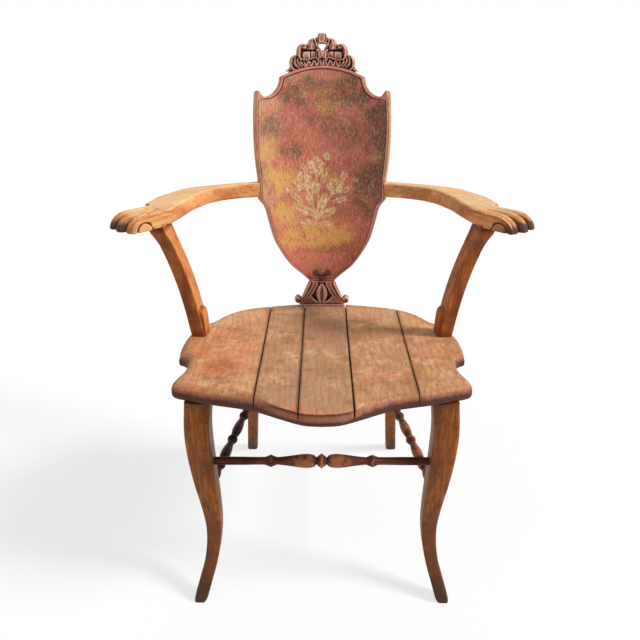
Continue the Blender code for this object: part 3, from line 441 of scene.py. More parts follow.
def pair(node, shape, material, sharp):
    """Finishes a piece for the right side and its mirror image for the left."""
    other = mirror_image(shape)
    finish_piece(f"{node}_right", shape, material, sharp)
    finish_piece(f"{node}_left", other, material, sharp)


def bare_wood(name, turn, tones, stain, shades, bleached_and_lit):
    """Worn wood with a low sheen: dirt and painted shade darken it, bleaching and painted light pale it."""
    material, tree, face, place, wood, grain = new_wood(name, turn, tones, stain, alike=True)
    rub = cloud(tree, place, 45, 6, 0.68)
    bleached_and_lit = mixed(tree, levels(tree, grain, 0.20, 0.40), tones[1], bleached_and_lit)
    wood = tinted(tree, wood, worn(tree, "bleach_and_painted_light", rub, 0.8), 0.2, 0.9, 0.8, bleached_and_lit)
    dark = worn(tree, "shade", rub, 0.8)
    wood = tinted(tree, wood, dark, 0.15, 0.55, 0.75, shades[0])
    wood = tinted(tree, wood, dark, 0.55, 0.95, 0.9, shades[1])
    surface(tree, face, wood, grain, 0.46, 0.0004)
    return material


leg_material = bare_wood(
    "leg_worn_wood", GRAIN_ALONG_Z, ((90, 45, 12), (136, 73, 22), (170, 100, 36)), (78, 40, 14),
    ((98, 54, 26), (72, 45, 32)), (176, 106, 46),
)
shape = bmesh.new()
sections = []
for share, out, forward, thick in smooth_run(LEG_LINE, 6):
    middle = Vector((LEG_TOP.x + out, LEG_TOP.y - forward, LEG_TOP.z * share))
    size = thick / 2 - FOOT_ROUNDING * ease(share, 0.02, 0)
    sections.append(ring(middle, X_AXIS, Y_AXIS, size, size, LEG_CORNER * thick))
sections.insert(0, [point + LEG_SPARE for point in sections[0]])
swept(shape, sections)
under_seat = SEAT_PLACE @ Vector((0, 0, -SEAT_THICKNESS - GLUE_GAP))
seat_up = (SEAT_PLACE.to_3x3() @ Vector((0, 0, 1))).normalized()
cut_away(shape, under_seat, seat_up)
shade, bleach_and_painted_light = new_notes(shape, "shade", "bleach_and_painted_light")
for vert in shape.verts:
    level = vert.co.z
    vert[shade] = 0.12 + 0.55 * ease(level, 0.24, 0.0) + 0.45 * ease(level, 0.06, 0.0)
    # Darker just under the seat: painted shade.
    vert[shade] += 0.25 * ease(level, 0.39, 0.42)
    # Paler at mid-height: partly wear, partly painted light.
    vert[bleach_and_painted_light] = 0.4 * ease(abs(level - 0.22), 0.08, 0.0)
pair("front_leg", shape, leg_material, 50)


# Rear legs: plain square sticks with soft corners, raked back and out, set into the seat's underside.
# Golden-brown stained wood, darker at the floor.

REAR_TOP = Vector((0.1395, 0.1074, 0.3989))
REAR_FOOT = Vector((0.1705, 0.2294, 0))
REAR_HALF = 0.01175
REAR_CORNER = 0.003
REAR_FOOT_ROUNDING = 0.0015

rear_material, tree, face, place, wood, grain = new_wood(
    "rear_leg_stained_wood", GRAIN_ALONG_Z, ((108, 56, 18), (150, 84, 28), (178, 108, 40)), (88, 50, 26),
    alike=True,
)
dark = calc(tree, "ADD", noted(tree, "shade"), calc(tree, "MULTIPLY", cloud(tree, place, 30, 4, 0.6), 0.5))
wood = tinted(tree, wood, dark, 0.5, 1.2, 0.8, (60, 34, 20))
surface(tree, face, wood, grain, 0.48, 0.0005)
shape = bmesh.new()
sections = []
for share in (1.08, 1, 0.8, 0.6, 0.4, 0.2, 0.01, 0):
    size = REAR_HALF - (REAR_FOOT_ROUNDING if share == 0 else 0)
    middle = REAR_FOOT.lerp(REAR_TOP, share)
    sections.append(ring(middle, X_AXIS, Y_AXIS, size, size, REAR_CORNER, 3))
swept(shape, sections)
cut_away(shape, under_seat, seat_up)
[shade] = new_notes(shape, "shade")
for vert in shape.verts:
    # Darker at the floor, and darker just under the seat, which is painted shade.
    vert[shade] = ease(vert.co.z, 0.06, 0) + 0.5 * ease(vert.co.z, 0.33, 0.40)
pair("rear_leg", shape, rear_material, 50)


# Stretchers: rails turned on a lathe with beads, vases and rings, their ends driven into holes in the
# legs. Dark red-brown stain, worn lighter on the swelling parts with some painted highlight, darker in
# the narrow parts, and painted shade over the whole left side rail.

FRONT_RAIL = (
    (0.0125, 0), (0.0123, 0.0010), (0.0108, 0.0026), (0.0097, 0.0044), (0.0090, 0.0060), (0.0072, 0.0074),
    (0.0062, 0.0084), (0.0062, 0.0092), (0.0076, 0.0102), (0.0094, 0.0120), (0.0107, 0.0150),
    (0.0115, 0.0190), (0.0119, 0.0230), (0.0120, 0.0270), (0.0117, 0.0320), (0.0108, 0.0400),
    (0.0094, 0.0500), (0.0080, 0.0600), (0.0070, 0.0690), (0.0065, 0.0752), (0.0067, 0.0775),
    (0.0076, 0.0788), (0.0078, 0.0802), (0.0086, 0.0816), (0.0092, 0.0836), (0.0103, 0.0856),
    (0.0107, 0.0868), (0.0103, 0.0882), (0.0092, 0.0902), (0.0086, 0.0922), (0.0078, 0.0936),
    (0.0076, 0.0950), (0.0067, 0.0963), (0.0066, 0.1100), (0.0070, 0.1350), (0.0071, 0.1600),
    (0.0067, 0.1944),
)
FRONT_MIDDLE = Vector((0, -0.1855, 0.292))
REAR_MIDDLE = Vector((0, 0.1605, 0.225))
REAR_HALF_LENGTH = 0.153
REAR_SWELL = 0.0028
SIDE_FRONT = Vector((0.1971, -0.1648, 0.2258))
SIDE_REAR = Vector((0.1575, 0.1611, 0.1864))
SIDE_RINGS = (0.18, 0.46, 0.76)
SIDE_COLLAR = ((0.0060, 0.0095), (0.0078, 0.0088), (0.0078, 0.0072), (0.0068, 0.0064))
SIDE_NECK = 0.0060
SIDE_SWELL = 0.0038
PIN_RADIUS = 0.0062
PIN_LENGTH = 0.006
RING_CLEAR = 0.011
RAIL_STEPS = 40

rail_material, tree, face, place, wood, grain = new_wood(
    "rail_stained_wood", GRAIN_ALONG_X, ((60, 32, 24), (92, 50, 37), (126, 74, 54)), (54, 30, 26)
)
light = worn(tree, "swell", cloud(tree, place, 70, 4, 0.6), 1)
# The stain note dims this on the left side rail, where it is painted shade.
light = calc(tree, "SUBTRACT", light, noted(tree, "stain"))
# Lighter on the swelling parts: wear, with painted highlight.
wood = tinted(tree, wood, light, 0.7, 1.0, 0.85, (184, 116, 80))
wood = mixed(tree, levels(tree, light, 0.0, 0.45, 0.8, 0), wood, (44, 24, 20))
surface(tree, face, wood, grain, 0.42, 0.0002, 0.08)


def turn_rail(node, profile, start, end, dark=0.0):
    """Turns a profile of (radius, length) points on the line from start to end and finishes the rail."""
    shape = bmesh.new()
    swell, stain = new_notes(shape, "swell", "stain")
    widest = max(radius for radius, _ in profile)
    points = [(0, profile[0][1]), *profile, (0, profile[-1][1])]
    verts = [shape.verts.new((radius, 0, length)) for radius, length in points]
    for vert in verts:
        vert[swell] = vert.co.x / widest
        vert[stain] = dark
    edges = [shape.edges.new(both) for both in zip(verts, verts[1:])]
    bmesh.ops.spin(
        shape, geom=[*verts, *edges], cent=(0, 0, 0), axis=(0, 0, 1), angle=2 * math.pi,
        steps=RAIL_STEPS, use_merge=True,
    )
    bmesh.ops.remove_doubles(shape, verts=shape.verts, dist=TINY)
    turn = (end - start).to_track_quat("Z", "Y").to_matrix().to_4x4()
    shape.transform(Matrix.Translation(start) @ turn)
    finish_piece(node, shape, rail_material, 50)


profile = [(radius, -length) for radius, length in reversed(FRONT_RAIL[1:])] + list(FRONT_RAIL)
turn_rail("front_stretcher", profile, FRONT_MIDDLE, FRONT_MIDDLE + X_AXIS)

span = (SIDE_REAR - SIDE_FRONT).length
profile = [(PIN_RADIUS, -PIN_LENGTH), (PIN_RADIUS, 0)]
stops = (0, *SIDE_RINGS, 1)
for start, end in zip(stops, stops[1:]):
    low = start * span + (RING_CLEAR if start else PIN_LENGTH)
    high = end * span - (RING_CLEAR if end < 1 else PIN_LENGTH)
    for step in range(1, 12):
        share = step / 12
        swell = math.sin(math.pi * share ** 0.8) ** 1.5
        profile.append((SIDE_NECK + SIDE_SWELL * swell, low + (high - low) * share))
    if end < 1:
        at = end * span
        profile += [(radius, at - away) for radius, away in SIDE_COLLAR]
        for step in range(-3, 4):
            profile.append((0.0070 + 0.0032 * math.cos(step / 3 * math.pi / 2), at + step * 0.0018))
        profile += [(radius, at + away) for radius, away in reversed(SIDE_COLLAR)]
profile += [(PIN_RADIUS, span), (PIN_RADIUS, span + PIN_LENGTH)]
# The left side rail's 0.7 is painted shade.
for side, sign, dark in (("left", -1, 0.7), ("right", 1, 0.0)):
    ends = [Vector((sign * end.x, end.y, end.z)) for end in (SIDE_FRONT, SIDE_REAR)]
    turn_rail(f"side_stretcher_{side}", profile, *ends, dark)

profile = []
for step in range(-12, 13):
    radius = PIN_RADIUS + REAR_SWELL * math.cos(step / 12 * math.pi / 2)
    profile.append((radius, step / 12 * REAR_HALF_LENGTH))
turn_rail("rear_stretcher", profile, REAR_MIDDLE, REAR_MIDDLE + X_AXIS)


# Shield: one board bent round the sitter's back and sawn to a shield with two ears, a raised bead run
# round its face with a groove inside it. Thin worn paint on the face, bare wood at edge and back.

BACK_PLACE = Matrix.Translation((0, 0.1684, 0.4750)) @ Matrix.Rotation(math.radians(-10.5), 4, "X")
BEND_RADIUS = 0.317
BEND_GRID = 0.0091
PANEL_TOP = 0.4175
ARCH_HALF = 0.079
ARCH_DROP = 0.0205
OGEE = (
    (0.025, 0), (0.0383, 0.01263), (0.0634, 0.0349), (0.0836, 0.0657), (0.0954, 0.0910), (0.1038, 0.1230),
    (0.1112, 0.1516), (0.1235, 0.1684),
)
ARM_REST = (0.1235, 0.188)
SIDE = (
    (0.1235, 0.2069), (0.1275, 0.2450), (0.1293, 0.2830), (0.1290, 0.3221), (0.1272, 0.3547),
    (0.1260, 0.3660),
)
EAR = (
    (0.1260, 0.3660), (0.1246, 0.3708), (0.1215, 0.3715), (0.1185, 0.3682), (0.1150, 0.3630),
    (0.1125, 0.3605),
)
EAR_HOLLOW = (0.1125, 0.397)
EAR_HOLLOW_HALF = (0.0335, 0.0365)
BEAD_WIDTH = 0.003
FIELD_DEPTH = 0.003
FIELD_GRID = 0.0017
FIELD_REACH = ((0, -0.128, 0.128), (2, 0.006, 0.413))
CLOUDS = {
    "olive": (
        (-0.026, 0.370, 0.048, 0.026, 1.1), (0.052, 0.368, 0.054, 0.028, 1.1),
        # The second cloud on this line, strong at the right edge, is partly painted shade.
        (0.016, 0.312, 0.034, 0.026, 0.8), (0.114, 0.270, 0.026, 0.100, 1.5),
        (-0.100, 0.306, 0.034, 0.030, 0.8), (-0.070, 0.262, 0.040, 0.016, 0.75),
        (0.096, 0.186, 0.030, 0.050, 1.1), (0.010, 0.066, 0.060, 0.008, 0.8),
        (0.046, 0.140, 0.050, 0.012, 0.5), (-0.112, 0.230, 0.016, 0.050, 0.6),
        (0.060, 0.300, 0.050, 0.030, 0.6),
    ),
    "ochre": (
        (-0.106, 0.258, 0.020, 0.026, 0.9), (-0.090, 0.204, 0.032, 0.024, 1.1),
        (-0.026, 0.094, 0.064, 0.025, 1.2), (0.104, 0.250, 0.014, 0.012, 0.9),
        (-0.074, 0.146, 0.024, 0.018, 0.9), (0.010, 0.346, 0.024, 0.014, 0.35),
        (0.030, 0.205, 0.016, 0.010, 0.7), (-0.020, 0.368, 0.030, 0.010, 0.5),
    ),
    "warm": (
        (-0.066, 0.110, 0.050, 0.060, 1.0), (-0.030, 0.044, 0.060, 0.030, 0.9),
        (0.030, 0.120, 0.050, 0.030, 0.8), (-0.020, 0.290, 0.050, 0.020, 0.6),
        (0.006, 0.360, 0.030, 0.016, 0.9),
    ),
    "deep": (
        (0.060, 0.260, 0.050, 0.080, 0.9), (-0.050, 0.345, 0.050, 0.040, 0.7),
        (0.070, 0.090, 0.050, 0.080, 1.0), (0.080, 0.330, 0.050, 0.060, 0.8),
    ),
    "pale": (
        (-0.112, 0.310, 0.034, 0.080, 0.9), (-0.100, 0.180, 0.030, 0.060, 0.8),
        (-0.060, 0.120, 0.030, 0.060, 0.6), (-0.010, 0.400, 0.060, 0.014, 0.6),
        (0.040, 0.330, 0.026, 0.040, 0.5),
    ),
}
STEMS = (
    ((-0.012, 0.118), (-0.016, 0.150), (-0.026, 0.178), (-0.036, 0.200)),
    ((-0.012, 0.118), (-0.008, 0.155), (-0.008, 0.190), (-0.014, 0.226)),
    ((-0.012, 0.118), (0.000, 0.146), (0.014, 0.168), (0.024, 0.186)),
    ((-0.022, 0.106), (-0.014, 0.120), (-0.004, 0.132), (0.002, 0.144)),
)
LEAVES = (
    (-0.034, 0.146, 24, 0.021, 0.0088), (0.012, 0.140, 150, 0.020, 0.0085),
    (-0.052, 0.172, 40, 0.016, 0.0066), (0.002, 0.164, 112, 0.018, 0.0072),
    (-0.024, 0.168, 66, 0.017, 0.0068), (0.036, 0.166, 165, 0.016, 0.0060),
    (0.004, 0.212, 105, 0.016, 0.0062), (-0.032, 0.122, 8, 0.017, 0.0062),
    (0.008, 0.118, 172, 0.016, 0.0060), (0.048, 0.186, 140, 0.012, 0.0046),
    (-0.034, 0.226, 55, 0.013, 0.0052),
)
BLOSSOMS = (
    (-0.038, 0.202, 0.0205), (-0.012, 0.232, 0.0190), (0.026, 0.192, 0.0185), (-0.014, 0.190, 0.0130),
    (0.044, 0.214, 0.0090), (0.010, 0.250, 0.0085), (-0.064, 0.188, 0.0090), (0.066, 0.206, 0.0060),
)
SPRAY_HALF_WIDTH = 0.08
SPRAY_LOW = 0.095
SPRAY_HIGH = 0.275
SPRAY_SEED = 7


def bent(point):
    """Bends a point of the flat shield (across, behind the face, up) round the sitter's back."""
    across, behind, up = point
    reach = BEND_RADIUS + behind
    turn = across / BEND_RADIUS
    return BACK_PLACE @ Vector((reach * math.sin(turn), reach * math.cos(turn) - BEND_RADIUS, up))


def arch(across):
    """Height of the shield's arched top."""
    return PANEL_TOP - ARCH_DROP * (across / ARCH_HALF) ** 2


def inset(points, distance):
    """Moves a closed line of points inwards, by one distance or by one for each point."""
    line = np.array(points)
    distance = np.broadcast_to(distance, len(line))[:, None]
    came = line - np.roll(line, 1, 0)
    runs = np.roll(line, -1, 0) - line
    came /= np.linalg.norm(came, axis=1)[:, None]
    runs /= np.linalg.norm(runs, axis=1)[:, None]
    inward = np.stack((-came[:, 1] - runs[:, 1], came[:, 0] + runs[:, 0]), 1)
    return line + distance * inward / np.maximum(1 + (came * runs).sum(1), 0.5)[:, None]


# The border runs straight past the ear, from the point at side_start to the one at ear_end.
half = [Vector((0, 0)), Vector((OGEE[0][0] / 2, 0)), *smooth_run(OGEE, 5), Vector(ARM_REST)]
side_start = len(half) + 16
half += smooth_run(SIDE, 4)[:-1] + smooth_run(EAR, 4)[:-1]
for step in range(13):
    angle = math.pi / 2 * step / 12
    across = EAR_HOLLOW[0] - EAR_HOLLOW_HALF[0] * math.sin(angle)
    half.append(Vector((across, EAR_HOLLOW[1] - EAR_HOLLOW_HALF[1] * math.cos(angle))))
ear_end = len(half) - 10
for step in range(1, 15):
    across = ARCH_HALF * (1 - step / 14)
    half.append(Vector((across, arch(across))))
outline = half + [Vector((-across, up)) for across, up in reversed(half[1:-1])]
mirror_end = len(outline)


def border(distance):
    """Line inside the shield's edge that passes below the ears and lies closer at the sides."""
    extra = distance - BEAD_WIDTH
    line = inset(outline, [BEAD_WIDTH + extra * (0.5 + 0.5 * ease(up, 0.34, 0.37)) for _, up in outline])
    for first, last in ((side_start, ear_end), (mirror_end - ear_end, mirror_end - side_start)):
        for index in range(first, last + 1):
            line[index] = line[first] + (line[last] - line[first]) * (index - first) / (last - first)
    return line


edge_levels = [(inset(outline, distance), behind) for distance, behind in (
    (0.0030, 0.0220), (0.0008, 0.0212), (0, 0.0190), (0, 0.0110), (0, 0.0034), (0.0006, 0.0014),
    (0.0018, 0.0003), (0.0030, 0),
)]
bead_levels = [(border(distance), behind) for distance, behind in (
    (0.0045, 0.0006), (0.0054, 0.0022), (0.0062, 0.0026), (0.0074, 0.0012),
)]
shape = bmesh.new()
field = swept(shape, [
    [Vector((across, behind, up)) for across, up in line] for line, behind in edge_levels + bead_levels
])
field.material_index = 1
for step in range(-14, 15):
    cut(shape, (step * BEND_GRID, 0, 0), (1, 0, 0))
for axis, low, high in FIELD_REACH:
    for step in range(int((high - low) / FIELD_GRID) + 1):
        point, direction = Vector((0, 0, 0)), Vector((0, 0, 0))
        point[axis], direction[axis] = low + step * FIELD_GRID, 1
        faces = [part for part in shape.faces if part.material_index]
        edges = {edge for part in faces for edge in part.edges}
        verts = {vert for part in faces for vert in part.verts}
        bmesh.ops.bisect_plane(
            shape, geom=[*verts, *edges, *faces], dist=TINY, plane_co=point, plane_no=direction
        )
for part in shape.faces:
    part.material_index = 0

stems = [part for line in STEMS for part in zip(smooth_run(line, 4), smooth_run(line, 4)[1:])]


def spray(here):
    """How thick the cream paint of the stems, leaves and roses lies at a place on the shield."""
    cream = 0
    for first, second in stems:
        along = second - first
        share = min(max((here - first).dot(along) / along.length_squared, 0), 1)
        cream = max(cream, 0.8 * ease((here - first - along * share).length, 0.0030, 0.0010))
    for leaf_x, leaf_z, turn, long, wide in LEAVES:
        turn = math.radians(turn)
        lengthwise = (here.x - leaf_x) * math.cos(turn) - (here.y - leaf_z) * math.sin(turn)
        sidewise = (here.x - leaf_x) * math.sin(turn) + (here.y - leaf_z) * math.cos(turn)
        body = ease((lengthwise / long) ** 2 + (sidewise / wide) ** 2, 1.3, 0.6)
        cream = max(cream, 0.85 * body * (1 - 0.6 * ease(abs(sidewise), 0.0020, 0.0006)))
    for bloom_x, bloom_z, size in BLOSSOMS:
        away = here - Vector((bloom_x, bloom_z))
        spin = math.atan2(away.y, away.x)
        rose = 0.5 + 0.5 * math.cos(5 * spin + 300 * bloom_x + 2.6 * math.sin(9 * away.length / size))
        reach = size * (0.80 + 0.20 * rose)
        body = ease(away.length, reach * 1.12, reach * 0.80) * (0.42 + 0.58 * ease(rose, 0.05, 0.55))
        cream = max(cream, body * (0.45 + 0.55 * ease(away.length, 0.10 * size, 0.30 * size)))
    return cream


names = ("paint", "bead", "groove", *CLOUDS, "cream")
coats = dict(zip(names, new_notes(shape, *names)))
noise.seed_set(SPRAY_SEED)
for vert in shape.verts:
    across, behind, up = vert.co
    drift = noise.fractal((across * 34, up * 26, 1), 0.6, 2.1, 6)
    vert[coats["paint"]] = ease(behind, 0.009, 0.002)
    vert[coats["bead"]] = ease(behind, 0.0011, 0.0006)
    if behind < FIELD_DEPTH:
        vert[coats["groove"]] = ease(behind, 0.0015, 0.0023)
    for name, clouds in CLOUDS.items():
        vert[coats[name]] = max(
            strength * ease(((across - x) / wide) ** 2 + ((up - z) / high) ** 2 + 1.2 * drift, 2.6, -0.6)
            for x, z, wide, high, strength in clouds
        )
    if abs(across) < SPRAY_HALF_WIDTH and SPRAY_LOW < up < SPRAY_HIGH and behind < FIELD_DEPTH:
        stray = noise.noise_vector((across * 190, up * 190, 5)).xy
        vert[coats["cream"]] = spray(Vector((across, up)) + 0.0014 * stray)
    vert.co = bent(vert.co)

shield_material, tree, face, place, wood, grain = new_wood(
    "shield_worn_paint", GRAIN_ALONG_Z, ((156, 98, 58), (206, 148, 98), (232, 186, 136)), (146, 88, 54)
)
streak = cloud(tree, along_grain(tree, place, GRAIN_ALONG_Z, 8), 420, 5, 0.7)
paint = mixed(tree, levels(tree, streak, 0.35, 0.65), (180, 93, 80), (236, 148, 124))
paint = tinted(tree, paint, cloud(tree, place, 14, 8, 0.75), 0.42, 0.62, 0.6, (172, 96, 88))
brush = cloud(tree, along_grain(tree, place, GRAIN_ALONG_Z, 3), 330, 8, 0.85)
patch = cloud(tree, along_grain(tree, place, GRAIN_ALONG_X, 1.8), 46, 6, 0.75)
rub = calc(tree, "ADD", calc(tree, "MULTIPLY", brush, 0.7), calc(tree, "MULTIPLY", patch, 0.3))
blotch = levels(tree, cloud(tree, place, 120, 6, 0.75), 0.40, 0.58)
cream_coat = mixed(tree, blotch, (214, 172, 104), (246, 228, 178))
for name, strength, wear, tint in (
    ("deep", 0.32, 2.4, (150, 63, 61)), ("warm", 0.7, 2.6, (236, 134, 104)),
    ("pale", 0.65, 3.0, (230, 182, 144)), ("olive", 0.78, 7.6, (76, 70, 50)),
    ("ochre", 0.76, 8.0, (236, 186, 98)), ("cream", 0.84, 4.4, cream_coat),
):
    paint = tinted(tree, paint, worn(tree, name, rub, wear), 0.15, 1.0, strength, tint)
speck = cloud(tree, along_grain(tree, place, GRAIN_ALONG_Z, 1.6), 330, 5, 0.8)
paint = tinted(tree, paint, speck, 0.53, 0.68, 0.65, (236, 198, 150))
crackle = cloud(tree, along_grain(tree, place, GRAIN_ALONG_Z, 6), 360, 5, 0.8)
paint = tinted(tree, paint, crackle, 0.53, 0.67, 0.65, (76, 48, 38))
paint = tinted(tree, paint, worn(tree, "bead", rub, 1), 0.4, 0.7, 0.75, (208, 150, 130))
# Dark in the groove inside the bead: painted shade.
paint = tinted(tree, paint, noted(tree, "groove"), 0.2, 0.9, 0.9, (70, 30, 28))
paint = tinted(tree, wood, worn(tree, "paint", rub, 1.2), 0.25, 0.5, 1, paint)
surface(tree, face, paint, grain, 0.55, 0.0005)
finish_piece("back_panel", shape, shield_material, 45)


# Crest: a ribbon bow over a garland of leaves, carved and pierced from one board that follows the
# shield's bend, doweled to the arch. Pink-brown paint worn on the ridges, with painted highlight there,
# and painted shade in the hollows.

CARVED_VOXEL = 0.0007
CREST_BACK = 0.019
FACE = Vector((0, -1, 0))


def stroke(shape, path, sizes, out, sides=12):
    """A bar along a path, with its half width and half height at each point of the path."""
    path = [Vector(point) for point in path]
    sections = []
    for index, point in enumerate(path):
        along = (path[min(index + 1, len(path) - 1)] - path[max(index - 1, 0)]).normalized()
        across = along.cross(out).normalized()
        rise = across.cross(along)
        wide, high = sizes[min(index, len(sizes) - 1)]
        sections.append([
            point + across * wide * math.cos(2 * math.pi * step / sides)
            + rise * high * math.sin(2 * math.pi * step / sides) for step in range(sides)
        ])
    swept(shape, sections)


def ball(shape, centre, radii, turn=0):
    """An egg-shaped lump, turned in the face of the carving."""
    place = Matrix.Translation(centre) @ Matrix.Rotation(turn, 4, "Y") @ Matrix.Diagonal((*radii, 1))
    bmesh.ops.create_icosphere(shape, subdivisions=3, radius=1, matrix=place)


def slab(shape, outline, front, back):
    """A flat board of the given outline."""
    swept(shape, [[Vector((across, behind, up)) for across, up in outline] for behind in (back, front)])


def carved(shape, voxel, softness):
    """Runs the lumps of a carving into one soft surface, without the crumbs inside it."""
    bmesh.ops.recalc_face_normals(shape, faces=shape.faces)
    rough = bpy.data.meshes.new("rough")
    shape.to_mesh(rough)
    shape.free()
    holder = in_scene("rough", rough)
    joined = holder.modifiers.new("joined", "REMESH")
    joined.mode = "VOXEL"
    joined.voxel_size = voxel
    soft = holder.modifiers.new("soft", "SMOOTH")
    soft.iterations = softness
    soft.factor = 0.5
    made = bmesh.new()
    made.from_object(holder, bpy.context.evaluated_depsgraph_get())
    bpy.data.objects.remove(holder)
    bpy.data.meshes.remove(rough)
    left, shells = set(made.verts), []
    while left:
        shells.append([])
        found = [left.pop()]
        while found:
            vert = found.pop()
            shells[-1].append(vert)
            near = {edge.other_vert(vert) for edge in vert.link_edges} & left
            left -= near
            found += near
    shells.sort(key=len)
    bmesh.ops.delete(made, geom=[vert for shell in shells[:-1] for vert in shell], context="VERTS")
    return made


def note_hollows(shape, rounds, reach):
    """Notes on each point how far it lies below the smoothed surface."""
    shape.verts.index_update()
    places = np.array([vert.co for vert in shape.verts])
    ends = np.array([[vert.index for vert in edge.verts] for edge in shape.edges])
    count = len(places)
    near = np.bincount(ends.ravel(), minlength=count)
    smooth = places.copy()
    for _ in range(rounds):
        for axis in range(3):
            total = np.bincount(ends[:, 0], smooth[ends[:, 1], axis], count)
            total += np.bincount(ends[:, 1], smooth[ends[:, 0], axis], count)
            smooth[:, axis] = total / near
    shape.normal_update()
    depth = ((smooth - places) * np.array([vert.normal for vert in shape.verts])).sum(1) / reach
    [hollow] = new_notes(shape, "hollow")
    for vert, value in zip(shape.verts, depth):
        vert[hollow] = value


def carved_paint(name, tones, stain, recess, ridge):
    """Worn paint on carving: painted shade in the hollows, ridges rubbed pale with painted highlight."""
    material, tree, face, place, wood, grain = new_wood(name, GRAIN_ALONG_X, tones, stain, 8, 0.2)
    hollow = worn(tree, "hollow", cloud(tree, place, 260, 4, 0.6), 0.6)
    # Painted shade in the hollows; on the ridges wear with painted highlight.
    wood = tinted(tree, wood, hollow, 0.05, 0.45, 0.97, recess)
    wood = tinted(tree, wood, hollow, -0.05, -0.6, 0.8, ridge)
    surface(tree, face, wood, grain, 0.52, 0.0003)
    return material


carved_material = carved_paint(
    "carving_worn_paint", ((140, 86, 73), (184, 121, 103), (210, 149, 127)), (128, 80, 68), (24, 12, 11),
    (244, 205, 179),
)

# The crest's forms are in millimetres for the right side: across, up and, for a fold, half width.
CREST_TOP = ((58, 4), (54, 13), (48, 17), (44, 22), (42, 31), (37, 35), (28, 34), (18, 36), (10, 33), (4, 26))
FINIAL = ((7.6, 40.5), (9.2, 45), (9.0, 52.5), (6.4, 57.2))
FINIAL_FACE = ((-5.6, 41), (3.6, 41), (5.0, 48), (4.2, 56.6), (-4.6, 56.6), (-6.2, 48))
SLOT_FLOOR = ((9, 12), (36, 9), (39, 17), (38, 23.4), (9, 24))
WING = ((11, 29), (38, 29.4), (42, 32), (38, 37), (29, 37), (26, 35), (22, 40), (15, 44))
TILES = (
    (((23.2, 13.2), (35.2, 12.4), (36.4, 18), (35.2, 23.4), (23.2, 24.4)), 2.2),
    (((13.2, 16.2), (20.6, 14.4), (20.6, 24.4), (13.2, 24.6)), 3.2),
    (((29.6, 30.4), (36.4, 30.4), (37.8, 35), (34, 38.6), (29.6, 38.0)), 3.4),
)
OUTER_LOOP = (
    (39.5, 9, 3.0), (42.5, 15, 4.4), (43.6, 23, 4.9), (42.0, 30.5, 4.6), (37.0, 35.6, 3.4), (31.5, 37, 1.8),
)
PETAL = ((16.8, 48.6, 0.8), (18.4, 44, 4.6), (19.8, 38, 7.8), (20.2, 32.5, 8.0), (20.4, 28.6, 6.2))
KNOT = ((1.2, 26.4, 1.0), (4.2, 24.2, 2.2), (5.6, 20.2, 2.6), (4.4, 16.0, 2.3), (2.0, 13.4, 1.2))
RIBBONS = (
    (((16.4, 48.2, 0.8), (13.4, 43.6, 1.7), (11.2, 39, 1.9), (10.4, 34, 1.4)), 3.0, 4.6),
    (((8.6, 50, 0.8), (11.6, 47, 2.6), (12.2, 43, 2.8), (9.6, 39.6, 1.2)), 8.0, 7.0),
    (((3.0, 26, 1.6), (6.4, 30, 2.6), (10.4, 35, 3.0), (12.6, 40, 1.6)), 9.0, 7.0),
    (((1.0, 20.5, 2.0), (4.4, 23.4, 2.6), (8.0, 26.2, 2.8), (10.5, 28.4, 1.6)), 3.8, 5.6),
    (((1.0, 20.5, 2.0), (4.6, 16.6, 2.6), (6.6, 12.4, 2.8), (7.4, 7.6, 1.0)), 4.2, 5.6),
    (((9.6, 24.0, 1.0), (11.0, 19.0, 1.8), (10.6, 14.0, 1.8), (9.4, 9.6, 0.8)), 6.0, 5.0),
    (KNOT, 1.6, 4.6),
)
SWAG = ((45.5, 18.5), (41.5, 12.6), (35, 10.2), (27, 10.6), (19, 12.6), (11, 15.2))
SWAG_HALF = 1.5
END_RIBS = (
    ((50.0, 18.5, 1.2), (56.4, 11.5, 3.4), (58.4, 2, 3.2), (55.6, -5.4, 2.8), (49.5, -8.4, 1.0)),
    ((48.6, 17.5, 1.2), (51.4, 9.5, 3.0), (49.6, 1.5, 3.0), (41.5, -5.2, 1.0)),
    ((44.6, 14.6, 1.2), (46.2, 8.2, 3.0), (43.4, 1.8, 3.0), (36.5, -2.8, 1.0)),
    ((40.0, 9.4, 1.2), (40.8, 6.2, 3.0), (38.2, 2.4, 3.0), (33.5, -0.6, 1.0)),
)
TAIL = ((54.5, -4.5, 1.0), (60, -7.0, 2.8), (65, -9.4, 1.6), (67.5, -11.2, 0.6))
LEAF_ROW = ((2.4, 5), (7.2, -30), (12.6, 24), (17.6, -26), (22.8, 26), (28.0, -24), (32.6, 20))
LEAF_STEPS = ((-1, 0.6, 2.0), (-0.4, 3.6, 3.7), (0.4, 7.4, 3.4), (1, 11, 1.0))

shape = bmesh.new()


def crest(across, up, behind):
    """Point of the crest in millimetres from the top of the shield's arch."""
    return Vector((across / 1000, behind / 1000, PANEL_TOP + up / 1000))


def crest_slab(side, outline, front):
    """A flat part of the crest, given in millimetres for the right side."""
    slab(shape, [(side * u / 1000, PANEL_TOP + up / 1000) for u, up in outline], front / 1000, CREST_BACK)


def arch_line(across):
    """Height of the shield's arch in the crest's millimetres."""
    return (arch(across / 1000) - PANEL_TOP) * 1000


def fold(side, path, behind, high):
    """A folded ribbon with a ridge along its middle, from points (across, up, half width)."""
    path = smooth_run(path, 4)
    sizes = [(wide / 1000, high / 1000 * (0.5 + 0.5 * min(wide / 3, 1))) for _, _, wide in path]
    stroke(shape, [crest(side * u, up, behind) for u, up, _ in path], sizes, FACE, 4)


